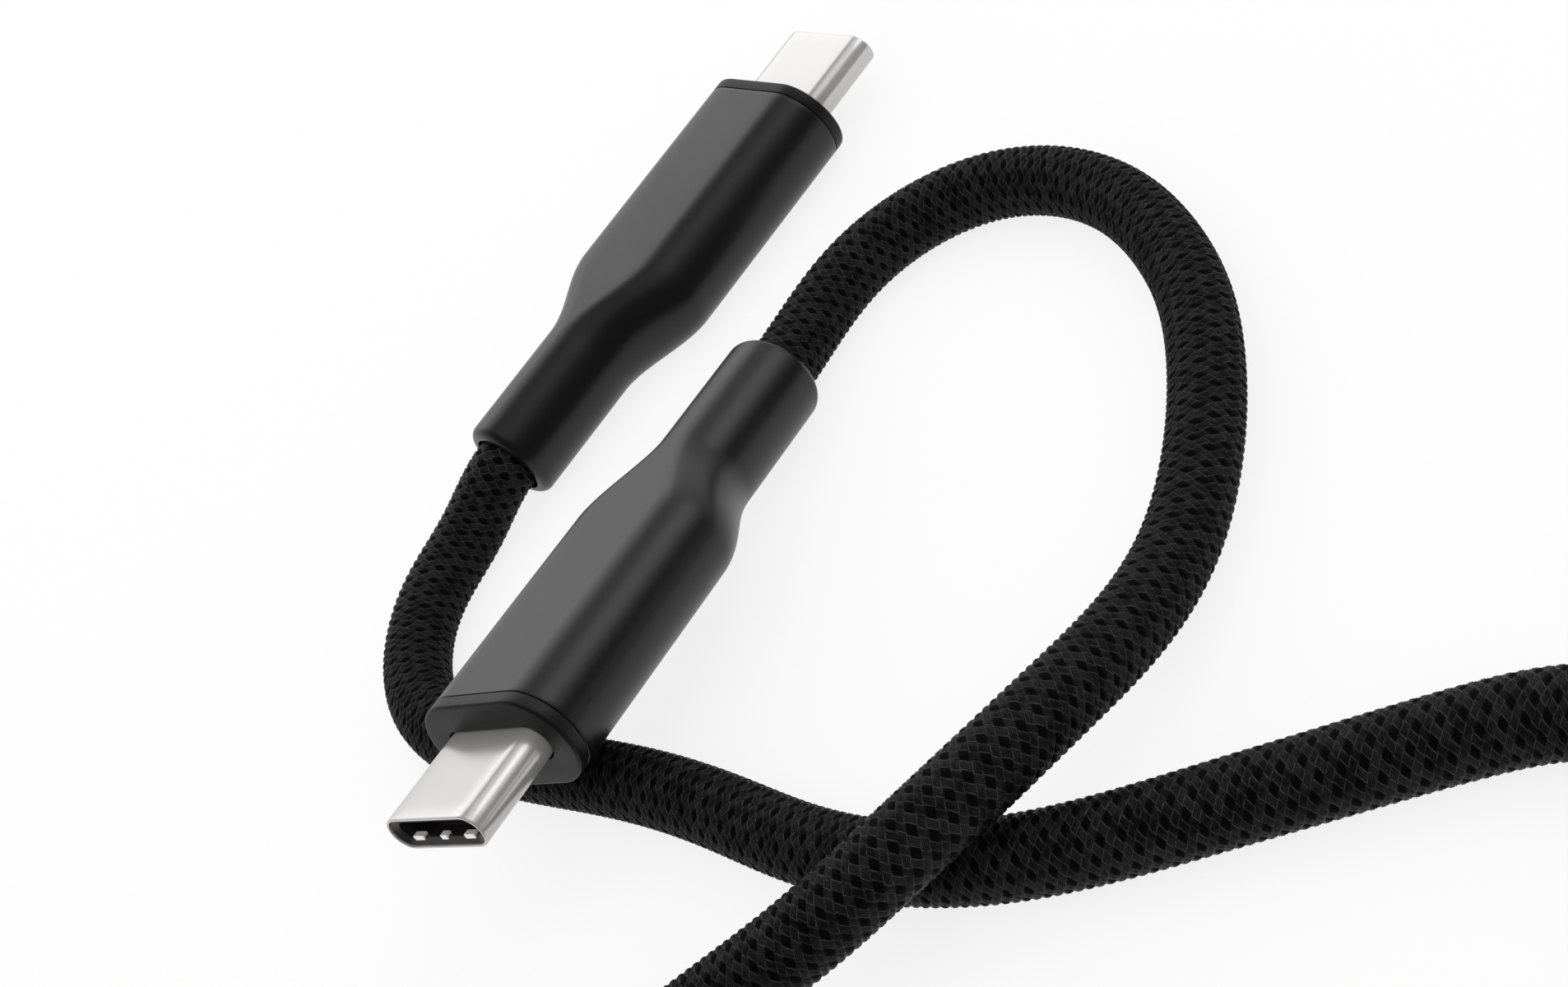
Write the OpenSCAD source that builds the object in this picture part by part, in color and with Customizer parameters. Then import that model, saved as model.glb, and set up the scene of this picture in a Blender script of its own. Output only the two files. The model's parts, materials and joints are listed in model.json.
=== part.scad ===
// Braided charging cable with a reversible plug at each end.
// It lies on a flat surface: the far plug flat on it, the near plug leaning
// on the cord, and the spare length wound in a round coil held by a strap.
// Plug frame: X across the plug, Y from the collar's face back to the cord, Z up.

/* [Cord] */
// Outer diameter of the braided cord
cord_d = 4.5; // [4:0.1:4.8]
// Room between the cord and the hole it leaves by, on each side
cord_gap = 0.2; // [0.1:0.05:0.4]
// Number of sides of the free cord's solid
cord_sides = 10; // [8:1:12]

/* [Metal tip] */
// Width of the metal tip
tip_w = 8.25; // [7.8:0.05:8.6]
// Height of the metal tip
tip_h = 2.4; // [2.2:0.05:2.7]
// Wall of the metal tip
tip_wall = 0.3; // [0.25:0.01:0.34]
// Length of the tip in front of the collar
tip_out = 6.65; // [6:0.05:8]
// Length of the tip hidden behind the collar's face
tip_in = 4.4; // [3.6:0.1:5]

/* [Lining and contacts] */
// Distance from the tip's edge back to the plastic lining
lining_set = 0.1; // [0.1:0.05:0.4]
// Width of the space inside the lining
slot_w = 6.9; // [6.7:0.05:7]
// Height of the space inside the lining
slot_h = 1.2; // [1.1:0.05:1.3]
// Number of contacts in a row
contact_count = 12; // [4:2:12]
// Distance between neighbouring contacts
contact_pitch = 0.5; // [0.42:0.02:0.5]
// Width of a contact
contact_w = 0.25; // [0.15:0.05:0.3]
// Thickness of a contact
contact_t = 0.1; // [0.08:0.01:0.12]
// Distance between the ground pads
pad_pitch = 2.3; // [1.8:0.1:2.4]
// Width of an outer ground pad
pad_w = 0.9; // [0.6:0.05:1]

/* [Board] */
// Width of the circuit board
board_w = 8.2; // [7:0.1:8.6]
// Length of the circuit board
board_len = 8; // [7:0.1:8.2]
// Thickness of the circuit board
board_t = 0.8; // [0.6:0.05:0.9]
// Side of the square marker chip
chip_w = 2; // [1.5:0.1:2.4]
// Height of the marker chip
chip_t = 0.55; // [0.4:0.05:0.8]
// Diameter of a power wire
power_d = 1.2; // [0.9:0.05:1.2]
// Diameter of a signal wire
signal_d = 0.6; // [0.4:0.05:0.65]

/* [Housing] */
// Width of the housing
body_w = 11.8; // [11.4:0.1:14]
// Height of the housing, and diameter of its sleeve
body_h = 6.5; // [6.4:0.1:7.4]
// Length of the collar in front of the housing
collar_len = 0.9; // [0.6:0.1:1.6]
// Length of the straight part, from the collar's face
body_len = 16.6; // [16.2:0.1:22]
// Length of the shoulder that narrows to the sleeve
shoulder_len = 6.8; // [5:0.1:9]
// Length of the round sleeve behind the shoulder
sleeve_len = 9.2; // [7:0.1:14]
// Wall of the housing round the board
body_wall = 0.8; // [0.7:0.05:0.85]
// Thickness of the metal shields
shield_t = 0.2; // [0.12:0.02:0.24]
// Rounding of the sleeve's rear edge
rear_round = 0.7; // [0.3:0.1:0.9]
// Rounding of the collar's front edge
nose_round = 0.3; // [0.1:0.05:0.5]
// Width of the fine joint between the collar and the housing
joint_gap = 0.04; // [0.02:0.01:0.1]

/* [Crimp] */
// Outer diameter of the crimp ring
crimp_d = 5.2; // [5.05:0.05:5.3]
// Length of the crimp ring
crimp_len = 4; // [3:0.1:5]

/* [Coil] */
// Radius of the coil at the middle of its turns
coil_r = 23.8; // [22:0.1:27]
// Turns in each of the two layers
coil_turns = 3.5; // [2.5:1:4.5]
// Distance between turns, and between layers
turn_step = 5; // [4.95:0.05:5.6]
// Width of the strap round the coil
strap_w = 8; // [5:0.5:9]
// Thickness of the strap round the coil
strap_t = 1; // [0.8:0.1:1.4]

/* [Hidden] */
$fn = 64;
// clearance of a part that slips into another
fit = 0.05;
// clearance under soldered pieces
solder = 0.02;
// how far a cutting tool runs past the face it cuts
past = 1;
cord_r = cord_d / 2;
hole_d = cord_d + 2 * cord_gap;
plug_len = body_len + shoulder_len + sleeve_len;
shoulder_end = body_len + shoulder_len;
body_r = body_h / 2;
body_flat = (body_w - body_h) / 2;

// metal tip and lining
tip_in_w = tip_w - 2 * tip_wall;
tip_in_h = tip_h - 2 * tip_wall;
lining_w = tip_in_w - 2 * fit;
lining_h = tip_in_h - 2 * fit;
lining_front = lining_set - tip_out;
lining_back = -0.3;
lip_len = 0.1;
lip_w = slot_w + 0.5;
lip_h = slot_h + 0.3;
// ground springs seen inside the mouth
pad_front = lining_front + 0.15;
pad_len = 0.4;
pad_mid_w = pad_w * 0.65;
pad_reach = slot_h / 2 - 0.18;
strip_t = 0.1;
strip_w = 2 * pad_pitch + pad_w + 0.3;
strip_len = pad_len + 0.8;
// contact rows
row_z = slot_h / 2 - contact_t;
row_width = (contact_count - 1) * contact_pitch;
contact_tip = lining_front + 1.4;
contact_bow = contact_tip + 0.7;
bow_z = row_z - 0.22;
channel = 0.02;
carrier_front = lining_back + 0.1;
carrier_back = tip_in - 0.1;
carrier_w = tip_in_w - 2 * fit;
carrier_h = tip_in_h - 2 * fit;
plate_t = 0.2;
carrier_low = plate_t / 2 + 0.03;
latch_x = slot_w / 2 - 0.35;
latch_t = 0.2;
latch_h = 0.7;
latch_reach = 4.6 - tip_out;
// board and what it carries
board_front = tip_in + 0.2;
board_back = board_front + board_len;
tail_back = board_front + 1.6;
chip_front = tail_back + 0.8;
wire_front = board_back - 2.2;
power_x = 0.75;
power_z = board_t / 2 + solder + power_d / 2;
signal_x = [0.45, 1.15];
signal_z = board_t / 2 + solder + signal_d / 2;
cap_size = [0.5, 1, 0.5];
cap_x = 3;
cap_step = 1.9;
// space inside the housing
bay_w = body_w - 2 * body_wall;
bay_h = body_h - 2 * body_wall;
bay_end = body_len + 0.4;
shield_w = bay_w - 2 * fit;
shield_h = bay_h - 2 * fit;
shield_front = tip_in - 1.2;
shield_back = board_back + 2.4;
shield_split = 0.05;
spigot_end = shield_front - 0.2;
mould_front = board_back + 0.4;
mould_w = shield_w - 2 * shield_t - 4 * fit;
mould_h = shield_h - 2 * shield_t - 4 * fit;
mould_step = bay_end - 0.2;
mould_end = shoulder_end - 1.1;
bore_d = crimp_d + 2 * fit;
crimp_front = mould_end + 0.6;
cord_start = mould_end + 0.2;
bore_end = plug_len - 2.6;

// where the plugs lie: the far one flat, the near one with its sleeve on the
// surface and its nose raised by the cord that passes under it
far_x = -12.6;
far_tip_y = 33.2;
near_exit_x = 5.1;
near_exit_y = 5.5;
near_yaw = 14;
near_pitch = 10.5;
near_roll = 8;
far_face = [far_x, far_tip_y - tip_out, body_r];
near_exit = [near_exit_x, near_exit_y, (body_r - rear_round) * cos(near_pitch)
    + rear_round * (1 - sin(near_pitch))];

// coil: its place, and the straight ends that meet the free cord
coil_c = [48.75, -69.8];
spread = coil_turns * turn_step;
coil_out = coil_r + spread / 2;
coil_in = coil_r - spread / 2;
loop_rings = 24;
loop_sides = 6;
low_z = cord_r;
high_z = cord_r + turn_step;
strap_angle = 270;
strap_rise = strap_t + 0.05;
end_len = cord_d;
end_gap = 0.03;

// middle line of the cord from the near plug to the coil, after its sleeve
near_points = [
    [3.9, 10.2, 2.35], [3.9, 15.1, 2.25], [6, 19.8, 2.25], [10.2, 23.2, 2.25],
    [15.7, 24.4, 2.25], [21.3, 23.5, 2.25], [26.7, 20.9, 2.25], [31.5, 17.2, 2.25],
    [35.5, 12.5, 2.25], [38.7, 7.3, 2.25], [41.1, 1.5, 2.4], [42.6, -4.5, 3.7],
    [43.1, -10.5, 5.6], [42.7, -16.5, 6.95], [40.9, -22.1, 6.95], [37.7, -27.3, 5.7],
    [33.7, -31.8, 4.1], [29.8, -36.6, 2.9], [26, -41.5, 2.3], [22.5, -46.6, 2.25],
    [19.6, -51.6, 2.25], [17.4, -56.5, 2.25]
];
// middle line of the cord from the far plug to the coil, after its sleeve
far_points = [
    [-12.6, -10.8, 2.35], [-11.6, -15.8, 2.25], [-8.8, -20.4, 2.25],
    [-4.3, -23.5, 2.25], [1.1, -24.5, 2.25], [6.9, -24.1, 2.25], [12.7, -23.1, 2.25],
    [18.5, -22.3, 2.25], [24.3, -22, 2.25], [30.3, -21.9, 2.25], [36.3, -21, 2.25],
    [41.9, -19, 2.25], [47.2, -15.9, 2.25], [52.2, -12.2, 2.25], [57.2, -8.4, 2.25],
    [62.4, -4.5, 2.25], [66.8, -1.9, 2.25], [71.7, -1.1, 2.25], [76.4, -2.7, 2.25],
    [79.8, -6.4, 2.25], [81.2, -11.4, 2.25], [81.3, -17, 2.25], [81.3, -23.5, 2.3],
    [81.3, -31, 2.7], [81.3, -39, 3.8], [81.3, -46.5, 5.4], [81.3, -53.5, 6.8]
];

// ---- shapes used by several pieces ----

// flat outline with round ends, lying across the plug
module obround(w, h) {
    square([w - h, h], center = true);
    for (side = [-1, 1]) translate([side * (w - h) / 2, 0]) circle(d = h);
}

// bar of obround section that runs along the plug from y = from to y = to
module obround_bar(w, h, from, to) {
    translate([0, to, 0]) rotate([90, 0, 0]) linear_extrude(to - from) obround(w, h);
}

// round bar along the plug
module round_bar(d, from, to, x = 0, z = 0) {
    translate([x, to, z]) rotate([90, 0, 0]) cylinder(d = d, h = to - from);
}

// box with its middle at x and z, between two places along the plug
module slab(w, h, from, to, x = 0, z = 0) {
    translate([x - w / 2, from, z - h / 2]) cube([w, to - from, h]);
}

// turn a piece over about the plug's axis
module flip() { rotate([0, 180, 0]) children(); }

// place a plug where it lies
module at_far() { translate(far_face) rotate([0, 0, 180]) children(); }
module at_near() {
    translate(near_exit) rotate([0, 0, near_yaw]) rotate([-near_pitch, 0, 0])
        rotate([0, -near_roll, 0]) translate([0, -plug_len, 0]) children();
}

// ---- pieces of a plug ----

module shell_shape() {
    color([0.78, 0.77, 0.75]) difference() {
        obround_bar(tip_w, tip_h, -tip_out, tip_in);
        obround_bar(tip_in_w, tip_in_h, -tip_out - past, tip_in + past);
    }
}

// cuts for the ground springs in the lining's upper wall
module spring_seats() {
    for (i = [-1:1]) {
        slab((i == 0 ? pad_mid_w : pad_w) + 2 * solder, tip_h, pad_front - solder,
            pad_front + pad_len + solder, x = i * pad_pitch, z = tip_h / 2 + pad_reach / 2);
    }
    slab(strip_w + 2 * solder, tip_h, pad_front - solder, pad_front + strip_len + solder,
        z = lining_h / 2 - strip_t - solder + tip_h / 2);
}

module insulator_shape() {
    color([0.05, 0.05, 0.055]) difference() {
        obround_bar(lining_w, lining_h, lining_front, lining_back);
        obround_bar(slot_w, slot_h, lining_front - past, lining_back + past);
        obround_bar(lip_w, lip_h, lining_front - past, lining_front + lip_len);
        spring_seats();
        flip() spring_seats();
    }
}

// one ground spring: a strip outside the lining with three pads through it
module ground_spring() {
    for (i = [-1:1]) {
        slab(i == 0 ? pad_mid_w : pad_w, lining_h / 2 - pad_reach, pad_front,
            pad_front + pad_len, x = i * pad_pitch, z = (lining_h / 2 + pad_reach) / 2);
    }
    slab(strip_w, strip_t, pad_front, pad_front + strip_len, z = (lining_h - strip_t) / 2);
}

module ground_springs_shape() {
    color([0.8, 0.79, 0.76]) {
        ground_spring();
        flip() ground_spring();
    }
}

// plate between the carriers, with an arm and a latch along each side
module latch_shape() {
    color([0.72, 0.72, 0.7]) {
        slab(2 * latch_x, plate_t, carrier_front + 0.3, carrier_back);
        for (side = [-1, 1]) {
            slab(latch_t, latch_h, latch_reach, carrier_front + 0.1,
                x = side * (latch_x - latch_t / 2));
            slab(latch_t, plate_t, carrier_front - 0.1, carrier_front + 0.5,
                x = side * (latch_x - latch_t / 2));
            slab(0.3, latch_h, latch_reach, latch_reach + 0.4,
                x = side * (latch_x - latch_t - 0.1));
        }
    }
}

// half block that holds one row of contacts in open channels
module carrier_shape() {
    color([0.07, 0.07, 0.075]) difference() {
        intersection() {
            obround_bar(carrier_w, carrier_h, carrier_front, carrier_back);
            slab(tip_w, tip_h, carrier_front - past, carrier_back + past,
                z = carrier_low + tip_h / 2);
        }
        for (i = [0:contact_count - 1]) {
            slab(contact_w + 2 * channel, contact_t + 2 * channel, carrier_front - past,
                carrier_back + past, x = i * contact_pitch - row_width / 2,
                z = row_z + contact_t / 2);
        }
    }
}

// one row of contacts: tail on the board, straight through the carrier, bowed tip
module contacts_shape() {
    tail_z = board_t / 2 + solder;
    low = [
        [tail_back, tail_z], [board_front, tail_z], [carrier_back + 0.05, row_z],
        [carrier_front, row_z], [contact_bow, bow_z], [contact_tip, row_z - 0.05]
    ];
    outline = concat(low, [for (i = [len(low) - 1:-1:0]) low[i] + [0, contact_t]]);
    color([0.83, 0.66, 0.32]) for (i = [0:contact_count - 1]) {
        translate([i * contact_pitch - row_width / 2 - contact_w / 2, 0, 0])
            rotate([90, 0, 90]) linear_extrude(contact_w) polygon(outline);
    }
}

module board_shape() {
    color([0.08, 0.3, 0.16]) slab(board_w, board_t, board_front, board_back);
}

module chip_shape() {
    color([0.1, 0.1, 0.11]) slab(chip_w, chip_t, chip_front, chip_front + chip_w,
        z = board_t / 2 + solder + chip_t / 2);
}

// two pairs of capacitors on top of the board and one pair below it
module capacitors_shape() {
    cap_z = board_t / 2 + solder + cap_size.z / 2;
    color([0.62, 0.5, 0.38]) {
        for (side = [-1, 1], i = [0, 1]) {
            slab(cap_size.x, cap_size.z, chip_front + i * cap_step,
                chip_front + i * cap_step + cap_size.y, x = side * cap_x, z = cap_z);
        }
        for (side = [-1, 1]) {
            slab(cap_size.x, cap_size.z, chip_front + cap_step,
                chip_front + cap_step + cap_size.y, x = side * cap_x / 2, z = -cap_z);
        }
    }
}

// a power wire on each face of the board
module power_wires_cut(d, to) {
    round_bar(d, wire_front, to, x = -power_x, z = power_z);
    round_bar(d, wire_front, to, x = power_x, z = -power_z);
}

// two signal wires on each face of the board
module signal_wires_cut(d, to) {
    for (x = signal_x) {
        round_bar(d, wire_front, to, x = x, z = signal_z);
        round_bar(d, wire_front, to, x = -x, z = -signal_z);
    }
}

module power_wires_shape() { color([0.65, 0.1, 0.08]) power_wires_cut(power_d, mould_end); }
module signal_wires_shape() { color([0.85, 0.85, 0.82]) signal_wires_cut(signal_d, mould_end); }

// half of the metal shield round the board
module shield_shape() {
    color([0.7, 0.7, 0.7]) intersection() {
        difference() {
            obround_bar(shield_w, shield_h, shield_front, shield_back);
            obround_bar(shield_w - 2 * shield_t, shield_h - 2 * shield_t,
                shield_front - past, shield_back + past);
        }
        slab(body_w, body_h, shield_front - past, shield_back + past,
            z = shield_split + body_h / 2);
    }
}

// plastic moulded round the wires behind the board
module inner_mould_shape() {
    color([0.86, 0.86, 0.83]) difference() {
        union() {
            obround_bar(mould_w, mould_h, mould_front, mould_step);
            round_bar(crimp_d, mould_step - fit, mould_end);
        }
        power_wires_cut(power_d + 2 * solder, mould_end + past);
        signal_wires_cut(signal_d + 2 * solder, mould_end + past);
    }
}

module crimp_shape() {
    color([0.74, 0.62, 0.36]) difference() {
        round_bar(crimp_d, crimp_front, crimp_front + crimp_len);
        round_bar(cord_d + 2 * solder, crimp_front - past, crimp_front + crimp_len + past);
    }
}

// collar: face plate with a spigot that slips into the housing
module collar_shape() {
    color([0.2, 0.2, 0.21]) difference() {
        union() {
            obround_bar(body_w, body_h, nose_round, collar_len);
            obround_bar(body_w - nose_round, body_h - nose_round, nose_round / 3,
                nose_round);
            obround_bar(body_w - 2 * nose_round, body_h - 2 * nose_round, 0,
                nose_round / 3);
            obround_bar(bay_w - 2 * fit, bay_h - 2 * fit, collar_len - fit, spigot_end);
        }
        obround_bar(tip_w + 2 * fit, tip_h + 2 * fit, -past, spigot_end + past);
    }
}

// ease in and out between 0 and 1
function ease(t) = t * t * (3 - 2 * t);

// one section of the housing: distance along the plug, half the flat, radius
shoulder_steps = 12;
round_steps = 4;
arc_steps = 20;
least_flat = 0.08;
housing_sections = concat(
    [[collar_len + joint_gap, body_flat, body_r]],
    [for (k = [0:shoulder_steps])
        [body_len + shoulder_len * k / shoulder_steps,
            body_flat * (1 - ease(k / shoulder_steps)), body_r]],
    [for (k = [0:round_steps])
        let (a = 90 * k / round_steps)
        [plug_len - rear_round * (1 - sin(a)), 0, body_r - rear_round * (1 - cos(a))]]
);
function section_ring(section) =
    let (flat = section[1], r = section[2], mid = max(flat, least_flat)) [
        for (side = [1, -1], i = [0:arc_steps])
            let (a = 90 * side - 180 * i / arc_steps)
            [side * mid + (r + flat - mid) * cos(a), section[0], r * sin(a)]
    ];

// closed solid through a list of rings of equal length, counted anticlockwise
// as seen from the last ring
module skin(rings) {
    n = len(rings[0]);
    last = len(rings) - 1;
    points = [for (ring = rings, p = ring) p];
    sides = [for (k = [0:last - 1], i = [0:n - 1])
        let (j = (i + 1) % n, a = k * n, b = (k + 1) * n)
        each [[a + i, b + j, a + j], [a + i, b + i, b + j]]];
    fans = [for (i = [1:n - 2]) each [
        [0, i, i + 1],
        [last * n, last * n + i + 1, last * n + i]]];
    polyhedron(points = points, faces = concat(sides, fans));
}

// housing: obround in front, drawn in over the shoulder to a round sleeve
// with a rounded rear edge
module housing_shape() {
    color([0.1, 0.1, 0.105]) difference() {
        skin([for (section = housing_sections) section_ring(section)]);
        obround_bar(bay_w, bay_h, -past, bay_end);
        round_bar(bore_d, bay_end - past, bore_end);
        round_bar(hole_d, bore_end - past, plug_len + past);
    }
}

// ---- cord ----

function unit(v) = v / norm(v);

// the near plug's own directions and points, in the layout's frame
function turn_z(v, a) = [v.x * cos(a) - v.y * sin(a), v.x * sin(a) + v.y * cos(a), v.z];
function turn_x(v, a) = [v.x, v.y * cos(a) - v.z * sin(a), v.y * sin(a) + v.z * cos(a)];
near_axis = turn_z(turn_x([0, 1, 0], -near_pitch), near_yaw);
near_root = near_exit - near_axis * (plug_len - cord_start);
far_exit = far_face - [0, plug_len, 0];
far_root = far_face - [0, cord_start, 0];

// direction of the middle line at point i
function heading(path, i) =
    unit(path[min(i + 1, len(path) - 1)] - path[max(i - 1, 0)]);

// ring of a tube round point p, square to direction d
function tube_ring(p, d, r, sides) =
    let (across = unit(cross(d, [0, 0, 1])), up = cross(across, d))
    [for (i = [0:sides - 1]) p + r * (sin(360 * i / sides) * across
        - cos(360 * i / sides) * up)];

// tube along a path; its first and last ring are square to its straight ends
module tube(path, r, sides) {
    skin([for (i = [0:len(path) - 1]) tube_ring(path[i], heading(path, i), r, sides)]);
}

// coil: height and radius at a turn count t from its outer end
turns_all = 2 * coil_turns + 0.5;
dip = turn_step / (2 * PI);
function coil_radius(t) =
    t < coil_turns ? coil_out - turn_step * t
    : t > coil_turns + 0.5 ? coil_in + turn_step * (t - coil_turns - 0.5)
    : coil_in - dip * sin(360 * (t - coil_turns));
function coil_height(t) =
    t < coil_turns ? low_z
    : t > coil_turns + 0.5 ? high_z
    : low_z + turn_step * (1 - cos(360 * (t - coil_turns))) / 2;
// the turns rise over the strap that passes under them
function strap_lift(a) =
    let (away = abs((a - strap_angle + 540) % 360 - 180))
    away > 60 ? 0 : strap_rise * (away < 20 ? 1 : (1 + cos(180 * (away - 20) / 40)) / 2);
function coil_point(t) =
    let (a = 180 + 360 * t, r = coil_radius(t))
    [coil_c.x + r * cos(a), coil_c.y + r * sin(a),
        coil_height(t) + strap_lift(a % 360)];
coil_line = [for (i = [0:turns_all * loop_rings]) coil_point(i / loop_rings)];
coil_head = coil_line[0] + [0, end_len, 0];
coil_tail = coil_line[len(coil_line) - 1] + [0, end_len, 0];
coil_path = concat([coil_head], coil_line, [coil_tail]);

near_path = concat([near_root, near_exit], near_points,
    [coil_head + [0, end_len, 0], coil_head + [0, end_gap, 0]]);
far_path = concat([far_root, far_exit], far_points,
    [coil_tail + [0, end_len, 0], coil_tail + [0, end_gap, 0]]);

function length_of(path) =
    len(path) < 2 ? 0 : norm_sum([for (i = [1:len(path) - 1]) norm(path[i] - path[i - 1])]);
function norm_sum(v) = v * [for (x = v) 1];

// least distance between two turns of the coil, from surface to surface
least_gap = min([for (i = [0:len(coil_line) - 1], j = [i + loop_rings / 2:1:len(coil_line) - 1])
    norm(coil_line[i] - coil_line[j])]) - cord_d;
echo(least_gap_between_turns = least_gap);
echo(cord_length = length_of(near_path) + length_of(coil_path) + length_of(far_path));

module near_cord() { color([0.09, 0.09, 0.095]) tube(near_path, cord_r, cord_sides); }
module far_cord() { color([0.09, 0.09, 0.095]) tube(far_path, cord_r, cord_sides); }
module cord_coil() { color([0.09, 0.09, 0.095]) tube(coil_path, cord_r, loop_sides); }

// strap: a flat closed loop round all the turns at one place
strap_room = 0.25;
strap_side = (strap_w / 2) * (strap_w / 2) / (2 * coil_in);
strap_from = coil_in + turn_step / 4 - cord_r - strap_side - strap_room;
strap_to = coil_out - turn_step / 4 + cord_r + strap_room;
module coil_tie() {
    high = high_z + cord_r + strap_room;
    round_in = cord_r;
    wide = strap_to - strap_from;
    color([0.16, 0.16, 0.17]) translate([coil_c.x, coil_c.y, 0]) rotate([0, 0, strap_angle])
        translate([(strap_from + strap_to) / 2, strap_w / 2, strap_t + high / 2])
        rotate([90, 0, 0]) linear_extrude(strap_w) difference() {
            round_box(wide + 2 * strap_t, high + 2 * strap_t, round_in + strap_t);
            round_box(wide, high, round_in);
        }
}

// rectangle with round corners
module round_box(w, h, r) {
    square([w - 2 * r, h], center = true);
    square([w, h - 2 * r], center = true);
    for (x = [-1, 1], y = [-1, 1])
        translate([x * (w / 2 - r), y * (h / 2 - r)]) circle(r = r);
}

// ---- near plug ----
module near_plug_shell() { at_near() shell_shape(); }
module near_front_insulator() { at_near() insulator_shape(); }
module near_ground_springs() { at_near() ground_springs_shape(); }
module near_latch_plate() { at_near() latch_shape(); }
module near_upper_carrier() { at_near() carrier_shape(); }
module near_lower_carrier() { at_near() flip() carrier_shape(); }
module near_upper_contacts() { at_near() contacts_shape(); }
module near_lower_contacts() { at_near() flip() contacts_shape(); }
module near_paddle_board() { at_near() board_shape(); }
module near_marker_chip() { at_near() chip_shape(); }
module near_capacitors() { at_near() capacitors_shape(); }
module near_power_wires() { at_near() power_wires_shape(); }
module near_signal_wires() { at_near() signal_wires_shape(); }
module near_upper_shield() { at_near() shield_shape(); }
module near_lower_shield() { at_near() flip() shield_shape(); }
module near_inner_mould() { at_near() inner_mould_shape(); }
module near_crimp_ring() { at_near() crimp_shape(); }
module near_front_collar() { at_near() collar_shape(); }
module near_housing() { at_near() housing_shape(); }

// ---- far plug ----
module far_plug_shell() { at_far() shell_shape(); }
module far_front_insulator() { at_far() insulator_shape(); }
module far_ground_springs() { at_far() ground_springs_shape(); }
module far_latch_plate() { at_far() latch_shape(); }
module far_upper_carrier() { at_far() carrier_shape(); }
module far_lower_carrier() { at_far() flip() carrier_shape(); }
module far_upper_contacts() { at_far() contacts_shape(); }
module far_lower_contacts() { at_far() flip() contacts_shape(); }
module far_paddle_board() { at_far() board_shape(); }
module far_capacitors() { at_far() capacitors_shape(); }
module far_power_wires() { at_far() power_wires_shape(); }
module far_signal_wires() { at_far() signal_wires_shape(); }
module far_upper_shield() { at_far() shield_shape(); }
module far_lower_shield() { at_far() flip() shield_shape(); }
module far_inner_mould() { at_far() inner_mould_shape(); }
module far_crimp_ring() { at_far() crimp_shape(); }
module far_front_collar() { at_far() collar_shape(); }
module far_housing() { at_far() housing_shape(); }

near_plug_shell();
near_front_insulator();
near_ground_springs();
near_latch_plate();
near_upper_carrier();
near_lower_carrier();
near_upper_contacts();
near_lower_contacts();
near_paddle_board();
near_marker_chip();
near_capacitors();
near_power_wires();
near_signal_wires();
near_upper_shield();
near_lower_shield();
near_inner_mould();
near_crimp_ring();
near_front_collar();
near_housing();
far_plug_shell();
far_front_insulator();
far_ground_springs();
far_latch_plate();
far_upper_carrier();
far_lower_carrier();
far_upper_contacts();
far_lower_contacts();
far_paddle_board();
far_capacitors();
far_power_wires();
far_signal_wires();
far_upper_shield();
far_lower_shield();
far_inner_mould();
far_crimp_ring();
far_front_collar();
far_housing();
near_cord();
cord_coil();
far_cord();
coil_tie();
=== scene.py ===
# %% [markdown]
# # A braided charging cable
# A charging cable is two small plugs and a long flexible cord. The parts that have to
# fit something were built in CAD, and this script dresses them: it gives the housings
# their satin skin, the tips their drawn steel and the cord its woven sleeve. All sizes
# are in metres, so a value in millimetres is written as a number times MM.

# %% Frame, tools and units
import json
import math

import bmesh
import bpy
import numpy as np
from mathutils import Matrix, Vector


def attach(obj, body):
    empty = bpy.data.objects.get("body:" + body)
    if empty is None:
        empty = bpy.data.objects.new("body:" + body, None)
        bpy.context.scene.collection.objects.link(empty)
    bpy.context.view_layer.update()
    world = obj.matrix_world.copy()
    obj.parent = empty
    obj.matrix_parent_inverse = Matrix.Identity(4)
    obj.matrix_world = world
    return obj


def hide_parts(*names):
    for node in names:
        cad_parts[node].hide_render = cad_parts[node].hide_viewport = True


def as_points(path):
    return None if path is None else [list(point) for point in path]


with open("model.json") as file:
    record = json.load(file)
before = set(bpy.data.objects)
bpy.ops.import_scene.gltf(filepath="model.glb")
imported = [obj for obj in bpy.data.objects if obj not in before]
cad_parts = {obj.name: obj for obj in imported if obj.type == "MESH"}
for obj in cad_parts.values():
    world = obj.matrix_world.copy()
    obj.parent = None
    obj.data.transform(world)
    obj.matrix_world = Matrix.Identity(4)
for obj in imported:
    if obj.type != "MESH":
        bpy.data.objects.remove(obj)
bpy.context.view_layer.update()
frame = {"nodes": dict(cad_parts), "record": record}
MM = 0.001
scene = bpy.context.scene
scene.view_settings.view_transform = "Standard"

# %% [markdown]
# ## Camera
# The cable is seen from above and from the side with a long lens, as small products
# usually are, and the camera is rolled so that the plugs run up across the picture.
# A camera is easiest to place by where it stands and what it looks at. The roll is a
# last turn about its own line of sight.

# %% Camera
CAMERA_PLACE = Vector((129.3, -50.4, 98.1)) * MM
CAMERA_AIM = Vector((12.6, -2.4, 3.0)) * MM
CAMERA_ROLL = math.radians(-40)
CAMERA_LENS = 60
CAMERA_NEAREST = 5 * MM


def new_object(name, data):
    made = bpy.data.objects.new(name, data)
    scene.collection.objects.link(made)
    return made


def facing(place, aim):
    """The transform of a camera or a lamp that stands at a place and points at the aim."""
    return Matrix.Translation(place) @ (aim - place).to_track_quat("-Z", "Y").to_matrix().to_4x4()


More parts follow.
